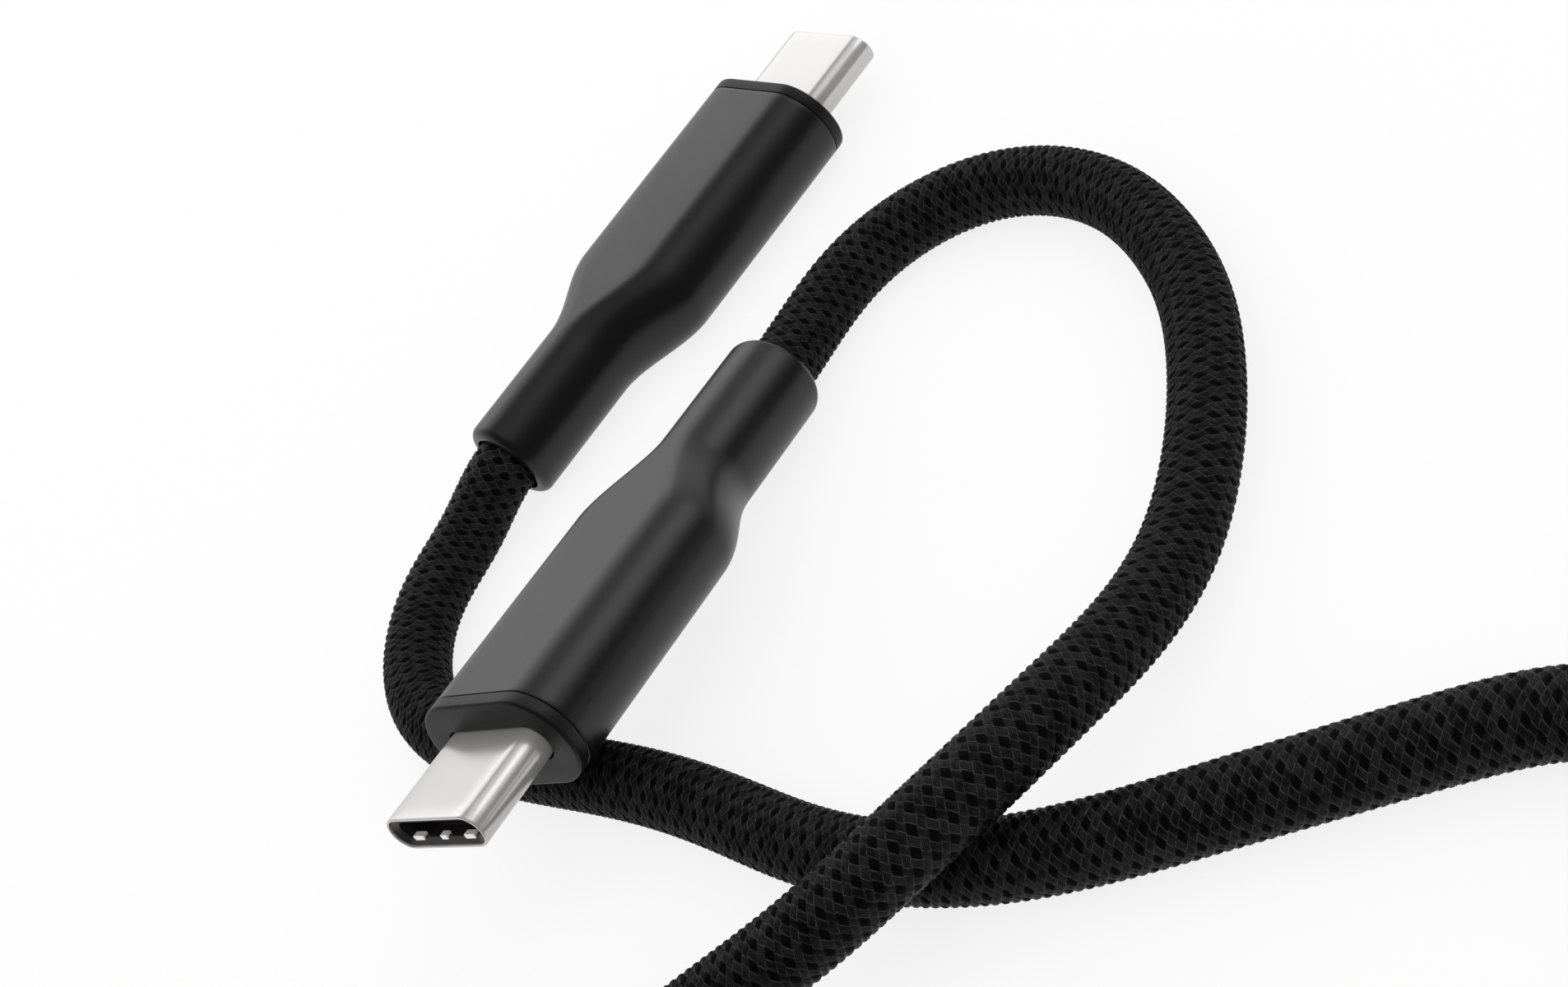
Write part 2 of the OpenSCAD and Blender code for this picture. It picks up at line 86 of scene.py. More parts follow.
camera_data = bpy.data.cameras.new("camera")
camera_data.lens = CAMERA_LENS
camera_data.clip_start = CAMERA_NEAREST
scene.camera = new_object("camera", camera_data)
scene.camera.matrix_world = facing(CAMERA_PLACE, CAMERA_AIM) @ Matrix.Rotation(CAMERA_ROLL, 4, "Z")
print("Camera:", round((CAMERA_AIM - CAMERA_PLACE).length / MM), "mm from what it looks at")

# %% [markdown]
# ## Nodes as expressions
# Materials and Geometry Nodes are graphs. Written call by call they are hard to read,
# so Wire stands for one output of a node and turns Python's operators into Math nodes.
# Graph.add makes any other node: its settings first, then what goes into its sockets.


# %% Wires and graphs
class Wire:
    """One output socket. Arithmetic on it adds Math nodes to its graph."""

    def __init__(self, graph, socket):
        self.graph = graph
        self.socket = socket

    def math(self, operation, *others):
        return self.graph.math(operation, self, *others)

    def output(self, name):
        return Wire(self.graph, self.socket.node.outputs[name])

    def __add__(self, other):
        return self.math("ADD", other)

    def __sub__(self, other):
        return self.math("SUBTRACT", other)

    def __mul__(self, other):
        return self.math("MULTIPLY", other)

    def __truediv__(self, other):
        return self.math("DIVIDE", other)

    def __rsub__(self, other):
        return self.graph.math("SUBTRACT", other, self)

    __radd__ = __add__


class Graph:
    """A node tree, with one method for nodes of any kind."""

    def __init__(self, tree):
        self.tree = tree

    def add(self, kind, settings=None, inputs=None, output=0):
        node = self.tree.nodes.new(kind)
        for name, value in (settings or {}).items():
            setattr(node, name, value)
        for name, value in (inputs or {}).items():
            if isinstance(value, Wire):
                self.tree.links.new(value.socket, node.inputs[name])
            else:
                node.inputs[name].default_value = value
        if len(node.outputs) == 0:
            return node
        return Wire(self, node.outputs[output])

    def math(self, operation, *values):
        return self.add("ShaderNodeMath", {"operation": operation}, dict(enumerate(values)))

    def vector(self, operation, *values, output="Vector"):
        settings = {"operation": operation}
        return self.add("ShaderNodeVectorMath", settings, dict(enumerate(values)), output)

    def dot(self, vector, other):
        return self.vector("DOT_PRODUCT", vector, other, output="Value")

    def scaled(self, vector, factor):
        settings = {"operation": "SCALE"}
        return self.add("ShaderNodeVectorMath", settings, {0: vector, "Scale": factor})

    def combined(self, x=0.0, y=0.0, z=0.0):
        return self.add("ShaderNodeCombineXYZ", None, {0: x, 1: y, 2: z})

    def parts(self, vector):
        split = self.add("ShaderNodeSeparateXYZ", None, {0: vector})
        return split.output("X"), split.output("Y"), split.output("Z")

    def blended(self, factor, low, high):
        """A colour between two. The colours are a Mix node's inputs 6 and 7 and output 2."""
        return self.add("ShaderNodeMix", {"data_type": "RGBA"}, {0: factor, 6: low, 7: high}, 2)


def blank_graph(owner):
    """The emptied node tree of a material or a world."""
    owner.use_nodes = True
    owner.node_tree.nodes.clear()
    return Graph(owner.node_tree)


COOL_TINT = (1.0, 0.99, 1.07)


def grey(value, warmth=0.0):
    """A grey as a colour. Warmth moves it a little from blue to red."""
    return (value * (1 + warmth), value, value * (1 - warmth), 1.0)


def cool(value):
    """A grey that leans a little to blue."""
    return tuple(value * share for share in COOL_TINT) + (1.0,)


def ramp(wire, low, high, bottom=0.0, top=1.0):
    """A value moved smoothly from one range to another, and held there."""
    return wire.graph.add(
        "ShaderNodeMapRange",
        {"interpolation_type": "SMOOTHSTEP"},
        {"Value": wire, "From Min": low, "From Max": high, "To Min": bottom, "To Max": top},
    )


# %% [markdown]
# ## Floor, light and background
# The floor is a plain pale sheet, much wider than the cable. Small dark products look
# best under few, large lights: each light shows in their skin as a soft band. The key
# light stands behind the plugs on the left, where the flat tops mirror it, and the world
# is bright on that side too. Another lamp and a pale panel behind draw the band along
# the shoulder. The rest of the world looks dark in a mirror, which keeps the round sides
# of the housings dark. For the light it gives it is a plain grey, stronger in front, so
# the parts that face the camera aren't lost in shade.

# %% Floor
FLOOR_HALF = 3.0
FLOOR_GREY = 0.86
FLOOR_GLOW = 0.82  # how much of what the camera sees is the floor's own white

corners = [(x * FLOOR_HALF, y * FLOOR_HALF, 0) for x, y in ((-1, -1), (1, -1), (1, 1), (-1, 1))]
floor_mesh = bpy.data.meshes.new("floor")
floor_mesh.from_pydata(corners, [], [(0, 1, 2, 3)])
floor = new_object("floor", floor_mesh)


def seen_directly(graph):
    """1 for rays from the camera, a mirror or glass, 0 for rays that carry light."""
    path = graph.add("ShaderNodeLightPath")
    glossy = path.output("Is Glossy Ray")
    clear = path.output("Is Transmission Ray")
    return (path.output("Is Camera Ray") + glossy + clear).math("MINIMUM", 1.0)


paper = bpy.data.materials.new("pale_floor")
graph = blank_graph(paper)
sheet = graph.add("ShaderNodeBsdfDiffuse", None, {"Color": grey(FLOOR_GREY)})
glow = graph.add("ShaderNodeEmission", None, {"Color": grey(1.0), "Strength": 1.0})
glow_share = seen_directly(graph) * FLOOR_GLOW
mixed = graph.add("ShaderNodeMixShader", None, {0: glow_share, 1: sheet, 2: glow})
graph.add("ShaderNodeOutputMaterial", None, {"Surface": mixed})
floor_mesh.materials.append(paper)
print("Floor:", 2 * FLOOR_HALF, "m across")

# %% World
# A side is the direction that a bright area lies in. Its span is the cosine of the angle
# off that direction where the area begins, and where it is full.
BRIGHT_SIDE, BRIGHT_SPAN, BRIGHT_GREY = (-0.94, 0.34, 0.0), (-0.15, 0.75), 1.0
PANEL_SIDE, PANEL_SPAN, PANEL_GREY = (0.10, 0.78, 0.62), (0.81, 0.91), 0.85
FRONT_SIDE, FRONT_SPAN, FRONT_LIGHT = (0.62, -0.68, 0.39), (-0.2, 0.9), 1.15
FADE_SPAN, FADE_LEFT = (0.25, 0.75), 0.15  # the bright side fades with the height
DARK_GREY = 0.06
WORLD_LIGHT = 0.62

world = bpy.data.worlds.new("studio")
scene.world = world
graph = blank_graph(world)
direction = graph.add("ShaderNodeTexCoord").output("Generated")
_, _, height = graph.parts(direction)
bright = ramp(graph.dot(direction, BRIGHT_SIDE), *BRIGHT_SPAN)
bright = bright * ramp(height, *FADE_SPAN, 1.0, FADE_LEFT)
sky = graph.blended(bright, grey(DARK_GREY), grey(BRIGHT_GREY))
panel = ramp(graph.dot(direction, PANEL_SIDE), *PANEL_SPAN)
sky = graph.blended(panel, sky, grey(PANEL_GREY))
front = ramp(graph.dot(direction, FRONT_SIDE), *FRONT_SPAN)
fill = graph.blended(front, grey(WORLD_LIGHT), grey(FRONT_LIGHT))
tone = graph.blended(seen_directly(graph), fill, sky)
background = graph.add("ShaderNodeBackground", None, {"Color": tone, "Strength": 1.0})
graph.add("ShaderNodeOutputWorld", None, {"Surface": background})
print("World:", len(world.node_tree.nodes), "nodes")

# %% Soft lights
# Places and sizes are in millimetres, and power is in watts.
LIGHTS_AIM = Vector((10, 0, 0))
SOFT_LIGHTS = {
    "key": {"place": (-445, 155, 300), "width": 540, "height": 310, "power": 0.72},
    "back": {"place": (110, 350, 310), "width": 220, "height": 240, "power": 0.27},
    "overhead": {"place": (60, 40, 520), "width": 400, "height": 400, "power": 0.25},
}


def soft_light(name, place, width, height, power):
    """A rectangular soft box that points at the stage."""
    data = bpy.data.lights.new(name, "AREA")
    data.shape = "RECTANGLE"
    data.size = width * MM
    data.size_y = height * MM
    data.energy = power
    new_object(name, data).matrix_world = facing(Vector(place) * MM, LIGHTS_AIM * MM)


for lamp_name, facts in SOFT_LIGHTS.items():
    soft_light(lamp_name, **facts)
print("Soft lights:", ", ".join(SOFT_LIGHTS))

# %% [markdown]
# ## Materials
# Each finish is a Principled shader. What varies over a surface is worked out in the
# object's own coordinates, or in a UV map where a pattern has to follow the surface.


# %% Material helpers
def new_material(name):
    """A material without nodes, and the graph to fill."""
    material = bpy.data.materials.new(name)
    print("Material:", name)
    return material, blank_graph(material)


def surface(graph, **sockets):
    """The Principled shader and the output. A socket's name is written with underscores."""
    inputs = {name.replace("_", " "): value for name, value in sockets.items()}
    shader = graph.add("ShaderNodeBsdfPrincipled", None, inputs)
    graph.add("ShaderNodeOutputMaterial", None, {"Surface": shader})


def own_place(graph):
    """The point on the object, in metres."""
    return graph.add("ShaderNodeTexCoord").output("Object")


def uv_place(graph):
    """The two coordinates of the UV map."""
    return graph.parts(graph.add("ShaderNodeUVMap", {"uv_map": "UVMap"}))[:2]


def noise(graph, vector, scale, detail=2.0, roughness=0.5):
    """Soft noise between 0 and 1. Scale counts its lumps in a unit of the vector."""
    return graph.add("ShaderNodeTexNoise", None, {
        "Vector": vector, "Scale": scale, "Detail": detail, "Roughness": roughness})


def swing(wire, size):
    """Noise as an offset to either side of zero."""
    return (wire - 0.5) * size


def bumped(graph, height):
    """A normal bent by a height in metres."""
    inputs = {"Height": height, "Distance": 1.0, "Strength": 1.0}
    return graph.add("ShaderNodeBump", None, inputs)


# %% [markdown]
# ### Satin skin of the housing
# The housing has a dark, satin finish. From close by it is not even: it has a very fine
# grain, like blasted metal. Two sizes of noise make it, one for the grain that breaks
# up reflections and one, much larger, for the faint clouding that handling leaves. The
# collar has the same finish with a coarser grain.


# %% Satin skin
CLOUDS = 160.0  # in a metre
CLOUD_TONE, CLOUD_ROUGHNESS, GRAIN_ROUGHNESS = 0.1, 0.06, 0.05


def satin(name, tone, roughness, ior, grain_size, grain_depth):
    """A dark satin finish with a grain, both its sizes in millimetres."""
    material, graph = new_material(name)
    place = own_place(graph)
    grain = noise(graph, place, 1 / (grain_size * MM), detail=2.0, roughness=0.7)
    cloud = noise(graph, place, CLOUDS, detail=3.0)
    dark, light = grey(tone * (1 - CLOUD_TONE)), grey(tone * (1 + CLOUD_TONE))
    rough = roughness + swing(cloud, CLOUD_ROUGHNESS) + swing(grain, GRAIN_ROUGHNESS)
    surface(graph, Base_Color=graph.blended(cloud, dark, light), Roughness=rough, IOR=ior,
            Normal=bumped(graph, grain * (grain_depth * MM)))
    return material


housing_skin = satin("satin_housing", tone=0.0045, roughness=0.34, ior=1.43,
                     grain_size=0.15, grain_depth=0.0050)
collar_skin = satin("grained_collar", tone=0.005, roughness=0.43, ior=1.31,
                    grain_size=0.12, grain_depth=0.0130)

# %% [markdown]
# ### Steel of the tips
# The tip is drawn from sheet steel and polished. Drawing leaves faint lines along it.
# So one noise, which moves the roughness and the bump, is stretched along the plug by
# the UV map. The steel is a little warmer than grey, and it isn't quite a full mirror.

# %% Steel
STREAKS_AROUND = 900.0  # in the whole way round the tip
STREAKS_ALONG = 12.0  # in a metre
STREAK_ROUGHNESS, STREAK_DEPTH = 0.02, 0.00004
TARNISH = 400.0  # patches in a metre
TARNISH_ROUGHNESS = 0.06
STEEL_DARK, STEEL_DARK_WARMTH = 0.97, 0.026
STEEL_LIGHT, STEEL_LIGHT_WARMTH = 1.02, 0.020


def steel(name, tone, roughness, metallic):
    material, graph = new_material(name)
    around, along = uv_place(graph)
    stretched = graph.combined(around * STREAKS_AROUND, along * STREAKS_ALONG)
    streak = noise(graph, stretched, 1.0)
    patch = noise(graph, own_place(graph), TARNISH)
    dark = grey(tone * STEEL_DARK, STEEL_DARK_WARMTH)
    light = grey(tone * STEEL_LIGHT, STEEL_LIGHT_WARMTH)
    rough = roughness + swing(streak, STREAK_ROUGHNESS) + swing(patch, TARNISH_ROUGHNESS)
    surface(graph, Base_Color=graph.blended(patch, dark, light), Metallic=metallic,
            Roughness=rough, Normal=bumped(graph, streak * (STREAK_DEPTH * MM)))
    return material


tip_steel = steel("drawn_steel", tone=0.54, roughness=0.21, metallic=0.55)

# %% [markdown]
# ### Plastics and metals inside the plugs
# Apart from the lining and the ground springs, the pieces inside only show when a plug
# is taken apart. Each still gets its own finish: a base colour that varies a little, a
# roughness and a shallow bump.

# %% Inner finishes
PATCH_ROUGHNESS = 0.1
FINE_LUMPS, FINE_DEPTH = 4, 0.3  # of the second noise, as shares of the first one's


def inner_finish(name, colour, roughness, metallic=0.0, lump=0.4, depth=0.002, spread=0.12):
    """A plain moulded or plated finish, its bump lumps and depth in millimetres."""
    material, graph = new_material(name)
    place = own_place(graph)
    patch = noise(graph, place, 1 / (lump * MM), detail=3.0)
    fine = noise(graph, place, FINE_LUMPS / (lump * MM), detail=1.0)
    dark = tuple(channel * (1 - spread) for channel in colour) + (1.0,)
    light = tuple(min(channel * (1 + spread), 1.0) for channel in colour) + (1.0,)
    surface(graph, Base_Color=graph.blended(patch, dark, light), Metallic=metallic,
            Roughness=roughness + swing(patch, PATCH_ROUGHNESS),
            Normal=bumped(graph, (patch + fine * FINE_DEPTH) * (depth * MM)))
    return material


INNER_FINISHES = {
    "lining": inner_finish("lining_plastic", (0.010, 0.010, 0.0105), 0.42),
    "spring": inner_finish("spring_nickel", (0.96, 0.95, 0.93), 0.36, 0.30, depth=0.0004,
                           spread=0.03),
    "latch": inner_finish("latch_steel", (0.62, 0.61, 0.59), 0.30, 1.0, spread=0.06),
    "carrier": inner_finish("carrier_plastic", (0.02, 0.02, 0.022), 0.45),
    "contact": inner_finish("gold_plate", (0.90, 0.62, 0.24), 0.24, 1.0, spread=0.08),
    "board": inner_finish("solder_mask", (0.012, 0.10, 0.045), 0.32, lump=0.9, depth=0.01,
                          spread=0.3),
    "chip": inner_finish("chip_package", (0.018, 0.018, 0.02), 0.55),
    "capacitor": inner_finish("ceramic", (0.33, 0.21, 0.12), 0.42, spread=0.2),
    "power_wire": inner_finish("red_insulation", (0.42, 0.02, 0.015), 0.40),
    "signal_wire": inner_finish("white_insulation", (0.70, 0.70, 0.66), 0.42, spread=0.05),
    "shield": inner_finish("tinned_shield", (0.60, 0.60, 0.61), 0.34, 1.0, lump=1.2,
                           spread=0.08),
    "mould": inner_finish("natural_plastic", (0.72, 0.72, 0.66), 0.50, spread=0.05),
    "crimp": inner_finish("crimp_brass", (0.72, 0.52, 0.22), 0.33, 1.0),
}
slot_of_node = {row["node"]: row["material_slot"] for row in frame["record"]["subparts"]}
for node_name, node_object in frame["nodes"].items():
    finish = INNER_FINISHES.get(slot_of_node[node_name])
    if finish:
        node_object.data.materials.clear()
        node_object.data.materials.append(finish)
print("Finished", len(INNER_FINISHES), "kinds of inner piece")

# %% [markdown]
# ## The cord's route
# The cord is one length, but it is described in three stretches: from the near plug to
# the coil, the coil, and from the coil to the far plug. They start where the plugs lie,
# so that comes first. The free stretches are points listed as a hand would lay the
# cord, in millimetres. A natural cubic spline through them bends smoothly, like a
# springy cord does.

# %% Where the plugs lie
# From here on, sizes are in millimetres.
CORD_D = 4.5
BODY_R = 3.25  # of the housing's round sides and its sleeve
PLUG_LENGTH = 32.6  # from the collar's face to the end of the sleeve
REAR_ROUND = 0.7  # the near plug tilts back onto this edge
NEAR_YAW, NEAR_PITCH, NEAR_ROLL = (math.radians(angle) for angle in (14, 10.5, 8))
FAR_FACE = Vector((-12.6, 26.55, BODY_R))
NEAR_EXIT = Vector((
    5.1, 5.5,
    (BODY_R - REAR_ROUND) * math.cos(NEAR_PITCH) + REAR_ROUND * (1 - math.sin(NEAR_PITCH))))

# A plug's own frame: X across it, Y from the collar's face back to the cord, Z up.
far_matrix = Matrix.Translation(FAR_FACE) @ Matrix.Rotation(math.pi, 4, "Z")
near_matrix = (
    Matrix.Translation(NEAR_EXIT)
    @ Matrix.Rotation(NEAR_YAW, 4, "Z")
    @ Matrix.Rotation(-NEAR_PITCH, 4, "X")
    @ Matrix.Rotation(-NEAR_ROLL, 4, "Y")
    @ Matrix.Translation((0, -PLUG_LENGTH, 0))
)
PLUGS = {"near": near_matrix, "far": far_matrix}
for prefix, matrix in PLUGS.items():
    face = matrix.translation
    print(f"{prefix} plug's face: {face.x:.1f}, {face.y:.1f}, {face.z:.1f} mm")


def on_axis(matrix, distance):
    """A point on a plug's axis, in millimetres."""
    return matrix @ Vector((0, distance, 0))


# %% Points of the free stretches
LAID_Z = CORD_D / 2


def laid(*points):
    """Points of the cord's middle. One that is given no height lies on the floor."""
    return [Vector((x, y, *(height or [LAID_Z]))) for x, y, *height in points]


near_points = laid(
    (3.9, 10.2, 2.35), (3.9, 15.1), (6, 19.8), (10.2, 23.2), (15.7, 24.4), (21.3, 23.5),
    (26.7, 20.9), (31.5, 17.2), (35.5, 12.5), (38.7, 7.3), (41.1, 1.5, 2.4),
    (42.6, -4.5, 3.7), (43.1, -10.5, 5.6), (42.7, -16.5, 6.95), (40.9, -22.1, 6.95),
    (37.7, -27.3, 5.7), (33.7, -31.8, 4.1), (29.8, -36.6, 2.9), (26, -41.5, 2.3),
    (22.5, -46.6), (19.6, -51.6), (17.4, -56.5))
far_points = laid(
    (-12.6, -10.8, 2.35), (-11.6, -15.8), (-8.8, -20.4), (-4.3, -23.5), (1.1, -24.5),
    (6.9, -24.1), (12.7, -23.1), (18.5, -22.3), (24.3, -22), (30.3, -21.9), (36.3, -21),
    (41.9, -19), (47.2, -15.9), (52.2, -12.2), (57.2, -8.4), (62.4, -4.5), (66.8, -1.9),
    (71.7, -1.1), (76.4, -2.7), (79.8, -6.4), (81.2, -11.4), (81.3, -17), (81.3, -23.5, 2.3),
    (81.3, -31, 2.7), (81.3, -39, 3.8), (81.3, -46.5, 5.4), (81.3, -53.5, 6.8))
print("Points by hand:", len(near_points), "near,", len(far_points), "far")

# %% [markdown]
# ## The coil
# The spare length is wound in two flat layers. The lower one spirals in, the cord climbs
# a layer in the half turn where the spiral reverses, and the upper one spirals out. The
# turns rise a little where the strap passes under them.

# %% Points of the coil
COIL_MIDDLE = Vector((48.75, -69.8, 0))
COIL_R = 23.8  # at the middle of the turns
COIL_TURNS = 3.5  # in each layer
CLIMB_TURN = 0.5
TURN_STEP = 5.0
COIL_OUT = COIL_R + COIL_TURNS * TURN_STEP / 2
COIL_IN = COIL_R - COIL_TURNS * TURN_STEP / 2
COIL_START_ANGLE = 180
COIL_POINTS_A_TURN = 96
END_LENGTH = CORD_D  # of the straight bit at each end
STRAP_T = 1.0
STRAP_ANGLE = 270
STRAP_RISE = STRAP_T + 0.05
RISE_FULL, RISE_END = 20, 60  # degrees off the strap where the turns are lifted


def coil_radius(turn):
    """The spiral's radius: smaller with each turn, and larger again after the climb."""
    if turn < COIL_TURNS:
        return COIL_OUT - TURN_STEP * turn
    if turn > COIL_TURNS + CLIMB_TURN:
        return COIL_IN + TURN_STEP * (turn - COIL_TURNS - CLIMB_TURN)
    return COIL_IN - TURN_STEP / (2 * math.pi) * math.sin(2 * math.pi * (turn - COIL_TURNS))


def coil_height(turn):
    climb = min(max(turn - COIL_TURNS, 0.0), CLIMB_TURN)
    return LAID_Z + TURN_STEP * (1 - math.cos(2 * math.pi * climb)) / 2


def strap_lift(angle):
    """How far the turns are raised. Away is the angle off the strap, from 0 to 180."""
    away = abs((angle - STRAP_ANGLE + 540) % 360 - 180)
    if away > RISE_END:
        return 0.0
    if away < RISE_FULL:
        return STRAP_RISE
    fall = (away - RISE_FULL) / (RISE_END - RISE_FULL)
    return STRAP_RISE * ((1 + math.cos(math.pi * fall)) / 2)


def coil_point(turn):
    angle = COIL_START_ANGLE + 360 * turn
    radius = coil_radius(turn)
    return COIL_MIDDLE + Vector((
        radius * math.cos(math.radians(angle)),
        radius * math.sin(math.radians(angle)),
        coil_height(turn) + strap_lift(angle % 360)))


coil_count = round((2 * COIL_TURNS + CLIMB_TURN) * COIL_POINTS_A_TURN)
coil_line = [coil_point(k / COIL_POINTS_A_TURN) for k in range(coil_count + 1)]
coil_head = coil_line[0] + Vector((0, END_LENGTH, 0))
coil_tail = coil_line[-1] + Vector((0, END_LENGTH, 0))
print("Coil:", coil_count / COIL_POINTS_A_TURN, "turns,", len(coil_line), "points")


# %% Smooth paths
def smooth_path(points, step):
    """Points a step apart on the natural cubic spline through the given points."""
    points = np.array([tuple(p) for p in points])
    knots = np.concatenate([[0], np.cumsum(np.linalg.norm(np.diff(points, axis=0), axis=1))])
    gap = np.diff(knots)[:, None]
    slope = np.diff(points, axis=0) / gap
    system = np.eye(len(points))
    right = np.zeros_like(points)
    for k in range(1, len(points) - 1):
        before, after = gap[k - 1, 0], gap[k, 0]
        system[k, k - 1:k + 2] = before, 2 * (before + after), after
        right[k] = 6 * (slope[k] - slope[k - 1])
    bend = np.linalg.solve(system, right)
    place = np.linspace(0, knots[-1], round(knots[-1] / step) + 1)
    k = np.clip(np.searchsorted(knots, place, "right") - 1, 0, len(points) - 2)
    t = place[:, None] - knots[k][:, None]
    return (points[k] + t * (slope[k] - gap[k] * (2 * bend[k] + bend[k + 1]) / 6)
            + t ** 2 * bend[k] / 2 + t ** 3 * (bend[k + 1] - bend[k]) / (6 * gap[k]))


CORD_START = 22.5  # on the plug's axis, inside the sleeve
GUIDE_IN, GUIDE_OUT = 3, 1  # points on the axis before and after the sleeve's end
ARRIVAL = 0.5  # extra straight run to the coil
END_GAP = 0.03  # between the ends of two stretches
PATH_STEP = 0.25


def free_path(matrix, points, coil_end):
    """From inside a plug's sleeve, out of it and along the points to the coil."""
    ahead = [on_axis(matrix, distance)
             for distance in (CORD_START, PLUG_LENGTH - GUIDE_IN, PLUG_LENGTH + GUIDE_OUT)]
    arrival = [coil_end + Vector((0, gap, 0)) for gap in (END_LENGTH + ARRIVAL, END_GAP)]
    return smooth_path(ahead + points + arrival, PATH_STEP)


near_path = free_path(near_matrix, near_points, coil_head)
far_path = free_path(far_matrix, far_points, coil_tail)
far_exit = on_axis(far_matrix, PLUG_LENGTH)
coil_path = np.array([tuple(p) for p in [coil_head, *coil_line, coil_tail]])


def path_length(path):
    return float(np.linalg.norm(np.diff(path, axis=0), axis=1).sum())


for label, path in (("near", near_path), ("coil", coil_path), ("far", far_path)):
    print(f"{label} stretch: {path_length(path):.1f} mm")

# %% [markdown]
# ## The braid
# The sleeve of the cord is braided: as many flat yarns wind one way as the other, and
# each passes over one and under the next. So the surface is a lattice of small
# pillows, one where each pair of yarns crosses. Geometry Nodes lay that lattice along
# the path. A grid is bent into a tube, every second ring is turned by half a step so
# that the grid's points fall on the corners and the middles of the pillows, and each
# point moves in or out by the pillow's height. The UV map counts crossings around and
# along, so the material can find every yarn again.

# %% Braid tree
CARRIERS = 14  # yarns each way
CELL_LENGTH = 0.56
BRAID_RELIEF = 0.11
SEAM_GAP = 0.0005  # points closer than this are one, where the tube closes


def braid_tree():
    tree = bpy.data.node_groups.new("braided_sleeve", "GeometryNodeTree")
    sockets = {}
    for name, kind in (("Geometry", "Geometry"), ("Radius", "Float"), ("Relief", "Float"),
                       ("Carriers", "Int"), ("Steps", "Int"), ("Rings", "Int"),
                       ("Material", "Material")):
        item = tree.interface.new_socket(
            name=name, in_out="INPUT", socket_type="NodeSocket" + kind)
        sockets[name] = item.identifier
    tree.interface.new_socket(
        name="Geometry", in_out="OUTPUT", socket_type="NodeSocketGeometry")
    g = Graph(tree)
    given = g.add("NodeGroupInput")
    steps, rings, carriers = (given.output(name) for name in ("Steps", "Rings", "Carriers"))

    line = g.add("GeometryNodeMeshToCurve", None, {"Mesh": given.output("Geometry")})
    line = g.add("GeometryNodeSetCurveNormal", {"mode": "Z_UP"}, {"Curve": line})
    columns = steps * carriers
    grid = g.add("GeometryNodeMeshGrid", None, {
        "Size X": 1.0, "Size Y": 1.0, "Vertices X": rings + 1, "Vertices Y": columns + 1})
    x, y, _ = g.parts(g.add("GeometryNodeInputPosition"))
    share = x + 0.5
    ring = (share * rings).math("ROUND")
    column = ((y + 0.5) * columns).math("ROUND")
    half_turned = column + ring.math("MODULO", 2.0) * 0.5
    to_corner = 0.5 - (steps * 0.5).math("FLOOR") / steps
    around = half_turned / steps + to_corner
    along = ring / (steps * 2.0)

    def pillow(count):
        off_middle = count - count.math("ROUND")
        return 1 - off_middle * off_middle * 4.0

    height = pillow(around - along) * pillow(around + along)
    radius = given.output("Radius") - given.output("Relief") * (1 - height)
    angle = around / carriers * (2 * math.pi)
    sample = g.add("GeometryNodeSampleCurve", {"mode": "FACTOR"},
                   {"Curves": line, "Factor": share})
    up = sample.output("Normal")
    side = g.vector("CROSS_PRODUCT", up, sample.output("Tangent"))
    spoke = g.vector("ADD", g.scaled(up, angle.math("COSINE")), g.scaled(side, angle.math("SINE")))
    place = g.vector("ADD", sample.output("Position"), g.scaled(spoke, radius))
    count_map = g.combined(around, along)
    tube = g.add("GeometryNodeStoreNamedAttribute", {"data_type": "FLOAT2", "domain": "CORNER"},
                 {"Geometry": grid, "Name": "UVMap", "Value": count_map})
    for kind, inputs in (("SetPosition", {"Position": place}),
                         ("MergeByDistance", {"Distance": SEAM_GAP * MM}),
                         ("SetShadeSmooth", {"Shade Smooth": True}),
                         ("RealizeInstances", {}),
                         ("SetMaterial", {"Material": given.output("Material")})):
        tube = g.add("GeometryNode" + kind, None, {"Geometry": tube, **inputs})
    g.add("NodeGroupOutput", None, {"Geometry": tube})
    return tree, sockets


sleeve_tree, sleeve_sockets = braid_tree()
print("Braid tree:", len(sleeve_tree.nodes), "nodes")

# %% [markdown]
# ### Yarn
# Every second yarn of one direction is black and the others are dark grey, so one
# crossing in four is black. A yarn is a flat bundle of filaments that lie side by side,
# which the bump draws as fine ridges along it, between low edges. Pale threads along its
# edges, and in patches over its filaments, are a painted glint of the yarn's shine.


# %% Yarn material
# Places across a yarn count from its middle, 0, to its edge, 0.5.
FILAMENTS = 5  # ridges across a yarn
RIB_START, RIB_TOP, YARN_EDGE = 0.30, 0.42, 0.5
GLINT_PATCH_COUNT = 900.0  # patches in a metre
PATCHY = (0.35, 0.65)  # the noise values between which a patch comes in
# how strongly the painted glint comes in on the yarns' edges and on their filaments
EDGE_GLINT_RANGE, FILAMENT_GLINT_RANGE = (0.2, 0.8), (0.0, 0.4)
BLACK_YARN = cool(0.0010), cool(0.0020)
GREY_YARN = cool(0.0010), cool(0.0075)
# the colour of the painted glint, pale lines that stand in for the yarns' shine
PAINTED_GLINT = cool(0.044)
BLACK_AT_EDGE = 0.6  # how black a black yarn still is at its edge
YARN_ROUGHNESS, GLINT_PATCH_ROUGHNESS, BLACK_ROUGHNESS = 0.40, 0.16, 0.35
YARN_GLOSS = 0.06
EDGE_DEPTH, END_DEPTH, FILAMENT_DEPTH = 0.016, 0.010, 0.004
OWN_PATTERN = (9.0, 7.3, 3.1, 1.3)  # spreads the noise, so that each pillow has its own


